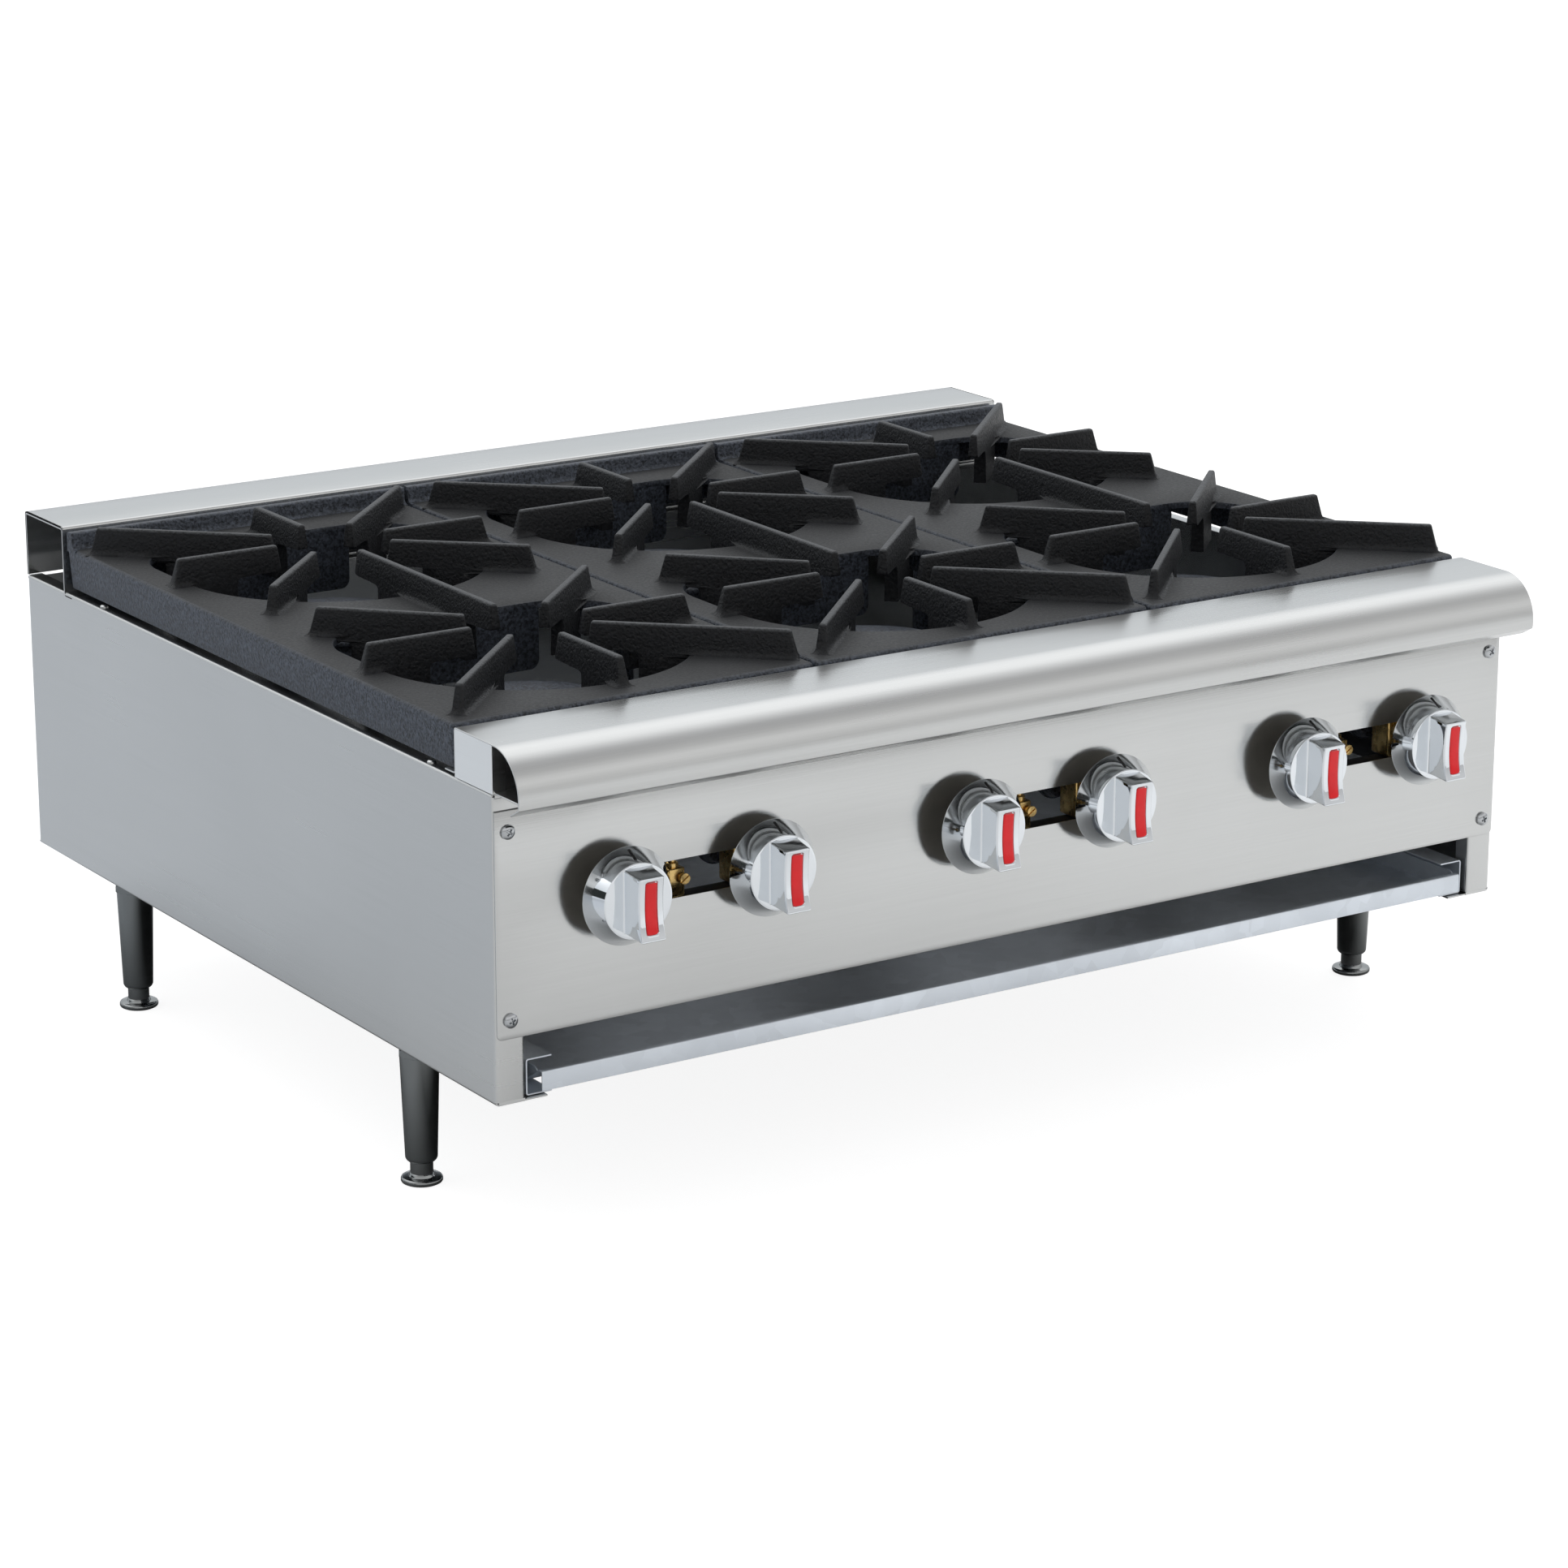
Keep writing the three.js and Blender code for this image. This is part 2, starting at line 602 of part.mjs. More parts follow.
function knob(x) {
  const boreRadius = STEM_RADIUS + STEM_PLAY;
  const wall = 2.4;
  const skirt = turned([
    [0, SKIRT_DEPTH],
    [DISC_RADIUS, SKIRT_DEPTH],
    [SKIRT_RADIUS, 1.5],
    [SKIRT_RADIUS, 0],
    [SKIRT_RADIUS - 1.8, 0],
    [DISC_RADIUS - 1.6, SKIRT_DEPTH - wall],
    [HUB_RADIUS, SKIRT_DEPTH - wall],
    [HUB_RADIUS, -HUB_REACH],
    [boreRadius, -HUB_REACH],
    [boreRadius, BORE_DEPTH],
    [0, BORE_DEPTH],
  ], 20);
  const root = () => SKIRT_DEPTH - 1;
  const bar = alongX(barSection(-BAR_END, BAR_END, BAR_LEAN, root, barFront), -BAR_HALF, BAR_HALF);
  const pocketHalf = INLAY_HALF + GAP;
  const pocketFloor = (along) => barFront(along) - POCKET_DEPTH;
  const pocket = alongX(
    barSection(POCKET_START, POCKET_END, 0, pocketFloor, () => BAR_REACH + 3),
    -pocketHalf, pocketHalf);
  return toFront(cut(join([skirt, bar]), [pocket]), x);
}

function knobInlay(x) {
  const low = (along) => barFront(along) - POCKET_DEPTH + GAP + 0.1;
  const high = (along) => barFront(along) + INLAY_PROUD;
  const section = barSection(POCKET_START + GAP, POCKET_END - GAP, 0, low, high);
  return toFront(join([alongX(section, -INLAY_HALF, INLAY_HALF)]), x);
}

// Grate: deck with two openings, skirts, rear wall, a wall behind each opening, and pot fingers.

function burnerOpening(y) {
  const shape = new THREE.Shape();
  const shoulder = OPENING_REAR - OPENING_CORNER;
  const inset = OPENING_RADIUS - OPENING_CORNER;
  shape.absarc(0, 0, OPENING_RADIUS, Math.PI, 2 * Math.PI);
  shape.lineTo(OPENING_RADIUS, shoulder);
  shape.absarc(inset, shoulder, OPENING_CORNER, 0, Math.PI / 2);
  shape.lineTo(-inset, OPENING_REAR);
  shape.absarc(-inset, shoulder, OPENING_CORNER, Math.PI / 2, Math.PI);
  return prism(shape, 60, 8).translate(0, y, DECK_TOP - 50);
}

// One pot finger in the plane of its own length, pointing from the burner towards +X.
function finger(outerTop, outerFoot) {
  const deckMiddle = DECK_TOP - DECK_THICKNESS / 2;
  const ribOuter = OPENING_RADIUS + RIB_OVERLAP;
  const section = [
    [FIN_INNER, FIN_TOP],
    [FIN_INNER - FIN_TIP_DRAFT, FIN_TIP_LOW],
    [FIN_STEP - 1, FIN_UNDERSIDE],
    [FIN_STEP, RIB_LOW],
    [ribOuter, RIB_LOW],
    [ribOuter, deckMiddle],
    [Math.max(outerFoot, ribOuter + 1), deckMiddle],
    [outerFoot, DECK_TOP],
    [outerTop, FIN_TOP],
  ];
  return alongY(shapeOf(section), -FIN_WIDTH / 2, FIN_WIDTH / 2);
}

const turnedTo = (geometry, degrees, y) =>
  geometry.rotateZ(THREE.MathUtils.degToRad(degrees)).translate(0, y, 0);

function centreFinger() {
  const half = BAY / 2;
  const deckMiddle = DECK_TOP - DECK_THICKNESS / 2;
  const tip = half - FIN_INNER;
  const rib = half - FIN_STEP;
  const ribEnd = rib - 30;
  const section = [
    [-tip, FIN_TOP],
    [-tip - FIN_TIP_DRAFT, FIN_TIP_LOW],
    [-rib - 1, FIN_UNDERSIDE],
    [-rib, RIB_LOW],
    [-ribEnd, RIB_LOW],
    [-ribEnd, deckMiddle],
    [ribEnd, deckMiddle],
    [ribEnd, RIB_LOW],
    [rib, RIB_LOW],
    [rib + 1, FIN_UNDERSIDE],
    [tip + FIN_TIP_DRAFT, FIN_TIP_LOW],
    [tip, FIN_TOP],
  ];
  return turnedTo(alongY(shapeOf(section), -FIN_WIDTH / 2, FIN_WIDTH / 2), 90, 0)
    .translate(0, (BURNER_FRONT + BURNER_REAR) / 2, 0);
}

function grate() {
  const g = GRATE_HALF;
  const deckLow = DECK_TOP - DECK_THICKNESS;
  const deck = block(-g, g, GRATE_FRONT, GRATE_REAR, deckLow, DECK_TOP);
  const openings = [BURNER_FRONT, BURNER_REAR].map(burnerOpening);
  const skirtHigh = DECK_TOP - 1;
  const parts = [
    cut(deck, openings),
    block(-g, -g + SKIRT_WALL, GRATE_FRONT, GRATE_REAR, SKIRT_LOW, skirtHigh),
    block(g - SKIRT_WALL, g, GRATE_FRONT, GRATE_REAR, SKIRT_LOW, skirtHigh),
    block(-g, g, GRATE_FRONT, GRATE_FRONT + SKIRT_WALL, SKIRT_LOW, skirtHigh),
    block(-g, g, GRATE_REAR - 8, GRATE_REAR, SKIRT_LOW, REAR_WALL_TOP),
  ];
  for (const y of [BURNER_FRONT, BURNER_REAR]) {
    const edge = y + OPENING_REAR;
    parts.push(block(-APRON_HALF, APRON_HALF, edge, edge + SKIRT_WALL, APRON_LOW, skirtHigh));
  }
  const diagonal = [[45, 178, 184], [135, 178, 184]];
  const towardsMiddle = [[45, 160, 166], [135, 160, 166]];
  for (const [angle, top, foot] of diagonal) {
    parts.push(turnedTo(finger(top + 6, foot + 6), angle, BURNER_REAR));
    parts.push(turnedTo(finger(top + 10, foot + 10), -angle, BURNER_FRONT));
  }
  for (const [angle, top, foot] of towardsMiddle) {
    parts.push(turnedTo(finger(top, foot), -angle, BURNER_REAR));
    parts.push(turnedTo(finger(top, foot), angle, BURNER_FRONT));
  }
  for (const y of [BURNER_FRONT, BURNER_REAR]) {
    parts.push(turnedTo(finger(133, 138), 0, y));
    parts.push(turnedTo(finger(133, 138), 180, y));
  }
  parts.push(turnedTo(finger(126, 134), 90, BURNER_REAR));
  parts.push(turnedTo(finger(131, 135), -90, BURNER_FRONT));
  parts.push(centreFinger());
  return join(parts);
}

// Legs and feet

function leg(x, y) {
  const high = BASE - GAP;
  const collarLow = high - COLLAR_HEIGHT;
  const column = turned([
    [0, collarLow + 1],
    [LEG_UPPER_RADIUS, collarLow + 1],
    [LEG_LOWER_RADIUS, LEG_END + 3],
    [LEG_LOWER_RADIUS - 2, LEG_END],
    [LEG_BORE_RADIUS, LEG_END],
    [LEG_BORE_RADIUS, LEG_BORE_TOP],
    [0, LEG_BORE_TOP],
  ], 12).translate(x, y, 0);
  return join([
    column,
    post(COLLAR_RADIUS, collarLow, high, x, y, 6),
    post(STUD_RADIUS, high - 1, BASE + 9, x, y, 8),
  ]);
}

function foot(x, y) {
  return join([
    turned([
      [0, 0],
      [FOOT_RADIUS - 1, 0],
      [FOOT_RADIUS, 1],
      [FOOT_RADIUS, 3.4],
      [FOOT_RADIUS - 1.5, 4.4],
      [FOOT_STEM_RADIUS, 4.8],
      [FOOT_STEM_RADIUS, FOOT_STEM_TOP],
      [0, FOOT_STEM_TOP],
    ], 12).translate(x, y, 0),
  ]);
}

// Assembly

const sides = [['left', -1], ['right', 1]];

for (const [word, side] of sides) {
  addPiece(`side_panel_${word}`, sidePanel(side), finishes.stainless());
  addPiece(`tray_runner_${word}`, trayRunner(side), finishes.darkSteel());
}
addPiece('back_panel', backPanel(), finishes.stainless());
addPiece('backguard', backguard(), finishes.stainless());
addPiece('bullnose_rail', bullnoseRail(), finishes.stainless());
addPiece('control_panel', controlPanel(), finishes.stainless());
addPiece('crumb_tray', crumbTray(), finishes.galvanised());
addPiece('gas_manifold', manifold(), finishes.darkSteel());
addPiece('burner_rail_front', burnerRail(BURNER_FRONT), finishes.darkSteel());
addPiece('burner_rail_rear', burnerRail(BURNER_REAR), finishes.darkSteel());

knobPlaces.forEach((x, i) => {
  const number = i + 1;
  addPiece(`knob_${number}`, knob(x), finishes.chrome());
  addPiece(`knob_inlay_${number}`, knobInlay(x), finishes.redPlastic());
  addPiece(`valve_stem_${number}`, valveStem(x), finishes.brass());
  addPiece(`gas_valve_${number}`, gasValve(x), finishes.brass());
});

const bayNames = ['left', 'centre', 'right'];
const grateForm = grate();

bayMiddles.forEach((middle, i) => {
  const word = bayNames[i];
  const [frontValveX, rearValveX] = [knobPlaces[2 * i], knobPlaces[2 * i + 1]];
  addPiece(`grate_${word}`, grateForm.clone().translate(middle, 0, 0), finishes.castIron());
  addPiece(`pilot_${word}`, pilot(middle + PILOT_OFFSET), finishes.brass());
  addPiece(`burner_front_${word}`, burner(middle, BURNER_FRONT, frontValveX), finishes.castIron());
  addPiece(`burner_rear_${word}`, burner(middle, BURNER_REAR, rearValveX), finishes.castIron());
});

for (const [word, side] of sides) {
  for (const [place, z] of [['lower', SCREW_HEIGHTS[0]], ['upper', SCREW_HEIGHTS[1]]]) {
    addPiece(`panel_screw_${place}_${word}`, panelScrew(side * SCREW_X, z), finishes.chrome());
  }
  for (const [place, y] of [['front', LEG_FRONT], ['rear', LEG_REAR]]) {
    addPiece(`leg_${place}_${word}`, leg(side * LEG_X, y), finishes.nickel());
    addPiece(`foot_${place}_${word}`, foot(side * LEG_X, y), finishes.chrome());
  }
}

export default range;
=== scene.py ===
"""Countertop gas range with six burners: the visible pieces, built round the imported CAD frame.

Everything is in metres. +Z is up, -Y is the front of the range and +X is its right side.
"""

import math

import bmesh
import bpy
import numpy as np
from bpy.props import FloatProperty, FloatVectorProperty, IntProperty
from mathutils import Euler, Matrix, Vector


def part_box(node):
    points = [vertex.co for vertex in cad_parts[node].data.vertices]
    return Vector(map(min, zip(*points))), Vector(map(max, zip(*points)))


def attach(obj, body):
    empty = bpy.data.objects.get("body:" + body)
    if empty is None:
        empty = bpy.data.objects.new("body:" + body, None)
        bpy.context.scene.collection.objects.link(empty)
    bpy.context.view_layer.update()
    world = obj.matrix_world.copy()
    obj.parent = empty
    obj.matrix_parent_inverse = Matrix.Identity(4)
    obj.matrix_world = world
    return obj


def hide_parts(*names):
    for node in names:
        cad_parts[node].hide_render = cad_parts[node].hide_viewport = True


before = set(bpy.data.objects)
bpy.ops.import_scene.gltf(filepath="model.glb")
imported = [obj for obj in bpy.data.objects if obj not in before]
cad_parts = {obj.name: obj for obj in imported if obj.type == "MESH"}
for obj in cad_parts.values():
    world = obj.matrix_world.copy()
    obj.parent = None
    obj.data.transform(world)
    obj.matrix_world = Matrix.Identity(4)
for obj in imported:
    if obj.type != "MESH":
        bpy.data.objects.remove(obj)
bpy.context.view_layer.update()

bl_info = {
    "name": "Countertop gas range",
    "version": (1, 0, 0),
    "blender": (4, 5, 0),
    "location": "View3D > Sidebar > Gas range",
    "description": "Builds the visible pieces of a six-burner countertop gas range",
    "category": "Add Mesh",
}

MM = 0.001
SIDES = (("left", -1.0), ("right", 1.0))
BAYS = ("left", "centre", "right")
KNOBS = range(1, 7)

# Where the frame's pieces stand
CASE_LOW, CASE_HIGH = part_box("side_panel_left")
HALF_WIDTH = -CASE_LOW.x
FRONT, REAR = CASE_LOW.y, CASE_HIGH.y
BASE, CASE_TOP = CASE_LOW.z, CASE_HIGH.z
BURNER_ROWS = {"front": FRONT + 0.2095, "rear": FRONT + 0.5143}

# Sheet-metal sizes
FLANGE = 0.0236
LIP = 0.014
REAR_FLANGE = 0.016
TOP_FLANGE = 0.012
BOTTOM_FLANGE = 0.042
GUARD_DEPTH = 0.070
GUARD_FOOT = 0.0133
NOSE_ROLL = 0.034
NOSE_APRON = 0.2245
SLOT_LOW = 0.128
SLOT_HEIGHT = 0.028


# ---------------------------------------------------------------- surfaces


def grid_quads(rows, columns, wrapped=False):
    """Quads between neighbouring points of a grid whose columns close on themselves."""
    row = np.arange(rows if wrapped else rows - 1)[:, None]
    column = np.arange(columns)[None, :]
    next_row = (row + 1) % rows
    next_column = (column + 1) % columns
    corners = [
        row * columns + column,
        row * columns + next_column,
        next_row * columns + next_column,
        next_row * columns + column,
    ]
    return np.stack(corners, -1).reshape(-1, 4)


def skin(rings, wrapped=False, **marks):
    """Closed surface over a stack of rings. Each point joins the next on its ring and the
    same one on the next ring. The end rings are capped, or joined to each other if wrapped."""
    rings = np.asarray(rings, float)
    count, size, _ = rings.shape
    faces = grid_quads(count, size, wrapped).tolist()
    if not wrapped:
        faces.append(list(range(size)))
        faces.append(list(range((count - 1) * size, count * size)))
    return rings.reshape(-1, 3), faces, marks


def rounded_path(corners, radius, steps=5):
    """Open path whose inner corners are arcs tangent to both sides. radius is one number,
    or one for each inner corner."""
    corners = np.asarray(corners, float)
    radii = np.broadcast_to(radius, len(corners) - 2)
    path = [corners[:1]]
    for before, corner, after, r in zip(corners, corners[1:], corners[2:], radii):
        a = (before - corner) / np.linalg.norm(before - corner)
        b = (after - corner) / np.linalg.norm(after - corner)
        half = math.acos(np.clip(a @ b, -1, 1)) / 2
        centre = corner + (a + b) / np.linalg.norm(a + b) * r / math.sin(half)
        start = corner + a * r / math.tan(half) - centre
        end = corner + b * r / math.tan(half) - centre
        sweep = math.pi - 2 * half
        t = np.linspace(0, 1, steps)[:, None]
        arc = (np.sin((1 - t) * sweep) * start + np.sin(t * sweep) * end) / math.sin(sweep)
        path.append(centre + arc)
    path.append(corners[-1:])
    return np.vstack(path)


def sheet(path, thickness):
    """Outline of a bent sheet: a path, then back along the same path moved to its left by
    the sheet's thickness."""
    path = np.asarray(path, float)
    step = np.diff(path, axis=0)
    step /= np.linalg.norm(step, axis=1)[:, None]
    before = np.vstack([step[:1], step])
    mean = before + np.vstack([step, step[-1:]])
    mean /= np.linalg.norm(mean, axis=1)[:, None]
    reach = thickness / (mean * before).sum(1)
    left = np.stack([-mean[:, 1], mean[:, 0]], 1)
    return np.vstack([path, (path + left * reach[:, None])[::-1]])


def along(axis, outline, start, end, **marks):
    """A flat outline pushed along one axis. The outline's two columns are the other two
    axes, in X, Y, Z order."""
    outline = np.asarray(outline, float)
    rings = np.stack([np.insert(outline, axis, place, axis=1) for place in (start, end)])
    return skin(rings, **marks)


def rounded_rectangle(x0, x1, y0, y1, radius, steps=6):
    """Points round a rectangle with quarter-circle corners, the same number for any size."""
    turn = np.linspace(0, math.pi / 2, steps)
    centres = ((x1, y1, 0), (x0, y1, 1), (x0, y0, 2), (x1, y0, 3))
    signs = ((-1, -1), (1, -1), (1, 1), (-1, 1))
    points = []
    for (cx, cy, quarter), (sx, sy) in zip(centres, signs):
        angle = turn + quarter * math.pi / 2
        points.append(np.stack([
            cx + sx * radius + radius * np.cos(angle),
            cy + sy * radius + radius * np.sin(angle),
        ], 1))
    return np.vstack(points)


def lathe(profile, sides=48, **marks):
    """A profile of (radius, height) turned about Z, its two ends capped flat."""
    profile = np.asarray(profile, float)
    angle = np.linspace(0, 2 * math.pi, sides, endpoint=False)
    rings = np.empty((len(profile), sides, 3))
    rings[..., 0] = profile[:, :1] * np.cos(angle)
    rings[..., 1] = profile[:, :1] * np.sin(angle)
    rings[..., 2] = profile[:, 1:]
    return skin(rings, **marks)


def prism_turned(profile, flats, sides=48):
    """As a lathe, but each ring is the smaller of a circle and a polygon with that many
    flats: (circle radius, distance to the flats, height)."""
    profile = np.asarray(profile, float)
    angle = np.linspace(0, 2 * math.pi, sides, endpoint=False)
    wedge = 2 * math.pi / flats
    off_flat = np.mod(angle, wedge) - wedge / 2
    radius = np.minimum(profile[:, :1], profile[:, 1:2] / np.cos(off_flat))
    rings = np.empty((len(profile), sides, 3))
    rings[..., 0] = radius * np.cos(angle)
    rings[..., 1] = radius * np.sin(angle)
    rings[..., 2] = profile[:, 2:]
    return skin(rings)


def smooth_path(points, count):
    """Points of a Catmull-Rom curve through the given ones."""
    points = np.asarray(points, float)
    padded = np.vstack([2 * points[0] - points[1], points, 2 * points[-1] - points[-2]])
    place = np.linspace(0, len(points) - 1 - 1e-9, count)
    i = place.astype(int)
    t = (place - i)[:, None]
    a, b, c, d = padded[i], padded[i + 1], padded[i + 2], padded[i + 3]
    return 0.5 * (2 * b + (c - a) * t + (2 * a - 5 * b + 4 * c - d) * t**2
                  + (3 * b - a - 3 * c + d) * t**3)


def pipe(path, radius, sides=24, **marks):
    """A round section carried along a path with the least possible twist. radius is one
    number, or one for each point."""
    path = np.asarray(path, float)
    radius = np.broadcast_to(radius, len(path))
    heading = np.gradient(path, axis=0)
    heading /= np.linalg.norm(heading, axis=1)[:, None]
    side = np.cross(heading[0], (0, 0, 1) if abs(heading[0][2]) < 0.9 else (1, 0, 0))
    angle = np.linspace(0, 2 * math.pi, sides, endpoint=False)[:, None]
    rings = []
    for centre, ahead, r in zip(path, heading, radius):
        side = side - ahead * (side @ ahead)
        side /= np.linalg.norm(side)
        up = np.cross(ahead, side)
        rings.append(centre + r * (np.cos(angle) * side + np.sin(angle) * up))
    return skin(rings, **marks)


def block(low, high, radius=0.0008, **marks):
    """A box with rounded edges: rounded rectangles stacked along Z that shrink at both ends
    as a quarter circle does."""
    low, high = np.asarray(low, float), np.asarray(high, float)
    turn = np.linspace(0, math.pi / 2, 4)
    shrink = radius * (1 - np.sin(turn))
    rise = radius * (1 - np.cos(turn))
    levels = [(s, low[2] + z) for s, z in zip(shrink, rise)]
    levels += [(s, high[2] - z) for s, z in zip(shrink[::-1], rise[::-1])]
    rings = []
    for inset, height in levels:
        corner = max(radius - inset, radius * 0.05) + radius * 0.5
        flat = rounded_rectangle(
            low[0] + inset, high[0] - inset, low[1] + inset, high[1] - inset, corner, 4)
        rings.append(np.insert(flat, 2, height, axis=1))
    return skin(rings, **marks)


def moved(part, offset, turn=(0.0, 0.0, 0.0)):
    """The part turned about the origin (degrees about X, Y, Z) and then moved."""
    points, faces, marks = part
    matrix = np.array(Euler([math.radians(t) for t in turn]).to_matrix())
    return points @ matrix.T + np.asarray(offset, float), faces, marks


def add_piece(name, parts, material, body, replaced=(), edge=0.0, angle=38):
    """One mesh object from several closed parts. Marks are numbers kept on each point for
    the material; edge is the width of a rounding put on sharp edges."""
    points = np.vstack([part[0] for part in parts])
    faces, start = [], 0
    for part_points, part_faces, _ in parts:
        faces += [[start + i for i in face] for face in part_faces]
        start += len(part_points)
    mesh = bpy.data.meshes.new(name)
    mesh.from_pydata(points.tolist(), [], faces)
    for mark in sorted({key for part in parts for key in part[2]}):
        values = [np.broadcast_to(part[2].get(mark, 0.0), len(part[0])) for part in parts]
        attribute = mesh.attributes.new(mark, "FLOAT", "POINT")
        attribute.data.foreach_set("value", np.concatenate(values).astype(np.float32))
    work = bmesh.new()
    work.from_mesh(mesh)
    bmesh.ops.recalc_face_normals(work, faces=work.faces)
    work.to_mesh(mesh)
    work.free()
    mesh.polygons.foreach_set("use_smooth", np.ones(len(mesh.polygons), bool))
    mesh.set_sharp_from_angle(angle=math.radians(angle))
    mesh.materials.append(material)
    piece = bpy.data.objects.new(name, mesh)
    bpy.context.scene.collection.objects.link(piece)
    if edge:
        bevel = piece.modifiers.new("Rounded edges", "BEVEL")
        bevel.width = edge
        bevel.segments = 2
        bevel.limit_method = "ANGLE"
        bevel.angle_limit = math.radians(40)
    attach(piece, body)
    if replaced:
        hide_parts(*replaced)
    return piece


# ---------------------------------------------------------------- materials


class Finish:
    """A material under construction: a Principled shader and short ways to add nodes that
    read the piece's own Object coordinates."""

    def __init__(self, name, colour, metallic, roughness):
        self.material = bpy.data.materials.new(name)
        self.material.use_nodes = True
        self.nodes = self.material.node_tree.nodes
        self.links = self.material.node_tree.links
        self.shader = self.nodes["Principled BSDF"]
        self.shader.inputs["Base Color"].default_value = (*colour, 1)
        self.shader.inputs["Metallic"].default_value = metallic
        self.shader.inputs["Roughness"].default_value = roughness
        self.place = self.nodes.new("ShaderNodeTexCoord").outputs["Object"]

    def noise(self, scale, detail=2.0, stretch=(1.0, 1.0, 1.0), distortion=0.0):
        """Cloudy noise, drawn out where stretch is small."""
        mapping = self.nodes.new("ShaderNodeMapping")
        mapping.inputs["Scale"].default_value = stretch
        texture = self.nodes.new("ShaderNodeTexNoise")
        texture.inputs["Scale"].default_value = scale
        texture.inputs["Detail"].default_value = detail
        texture.inputs["Distortion"].default_value = distortion
        self.links.new(self.place, mapping.inputs["Vector"])
        self.links.new(mapping.outputs["Vector"], texture.inputs["Vector"])
        return texture.outputs["Fac"]

    def mark(self, name):
        """A number kept on the mesh's points."""
        node = self.nodes.new("ShaderNodeAttribute")
        node.attribute_name = name
        return node.outputs["Fac"]

    def spread(self, value, low, high, start=0.3, end=0.7):
        """The value stretched from start..end to low..high, and held at those limits."""
        node = self.nodes.new("ShaderNodeMapRange")
        node.inputs["From Min"].default_value = start
        node.inputs["From Max"].default_value = end
        node.inputs["To Min"].default_value = low
        node.inputs["To Max"].default_value = high
        self.links.new(value, node.inputs["Value"])
        return node.outputs["Result"]

    def math(self, operation, a, b):
        """Two values put together."""
        node = self.nodes.new("ShaderNodeMath")
        node.operation = operation
        for socket, value in zip(node.inputs, (a, b)):
            if isinstance(value, (int, float)):
                socket.default_value = value
            else:
                self.links.new(value, socket)
        return node.outputs["Value"]

    def mix(self, factor, a, b):
        """A colour between a and b. Each is a colour or another node's output."""
        node = self.nodes.new("ShaderNodeMix")
        node.data_type = "RGBA"
        self.links.new(factor, node.inputs["Factor"])
        for socket, value in zip((node.inputs[6], node.inputs[7]), (a, b)):
            if isinstance(value, tuple):
                socket.default_value = (*value, 1)
            else:
                self.links.new(value, socket)
        return node.outputs[2]

    def bump(self, height, distance, strength=1.0, under=None):
        """Relief that high, in metres, on top of another relief."""
        node = self.nodes.new("ShaderNodeBump")
        node.inputs["Distance"].default_value = distance
        if isinstance(strength, (int, float)):
            node.inputs["Strength"].default_value = strength
        else:
            self.links.new(strength, node.inputs["Strength"])
        self.links.new(height, node.inputs["Height"])
        if under is not None:
            self.links.new(under, node.inputs["Normal"])
        return node.outputs["Normal"]

    def feed(self, **sockets):
        """Links outputs to the shader: base_color=..., roughness=..., normal=..."""
        for key, value in sockets.items():
            self.links.new(value, self.shader.inputs[key.replace("_", " ").title()])
        return self.material


def scaled(colour, factor):
    """The colour made lighter or darker."""
    return tuple(channel * factor for channel in colour)


def brushed_steel(name, settings, grain, roughness, tint=1.0):
    """Stainless sheet: hair lines along the grain's axes, with faint clouds and smears. A
    grain of two axes runs on round a bend from one to the other."""
    # A tint above 1 gives a brighter copy of the same steel, which is painted light; only the end
    # plates use it.
    steel = scaled(settings.steel_colour, tint)
    finish = Finish(name, steel, 1.0, roughness)
    stretch = tuple(0.006 if axis in grain else 1.0 for axis in range(3))
    lines = finish.noise(1400, 3, stretch)
    streaks = finish.noise(300, 2, stretch)
    clouds = finish.noise(4, 3, distortion=0.6)
    tone = finish.math("ADD", finish.spread(lines, -0.4, 0.4), finish.spread(clouds, 0, 1))
    colour = finish.mix(
        finish.spread(tone, 0, 1, -0.4, 1.4), scaled(steel, 0.94), scaled(steel, 1.035))
    rough = finish.math(
        "ADD",
        finish.spread(streaks, -0.015, 0.015),
        finish.spread(clouds, roughness - 0.015, roughness + 0.03))
    relief = finish.bump(lines, 0.00005, settings.brushing)
    return finish.feed(base_color=colour, roughness=rough, normal=relief)


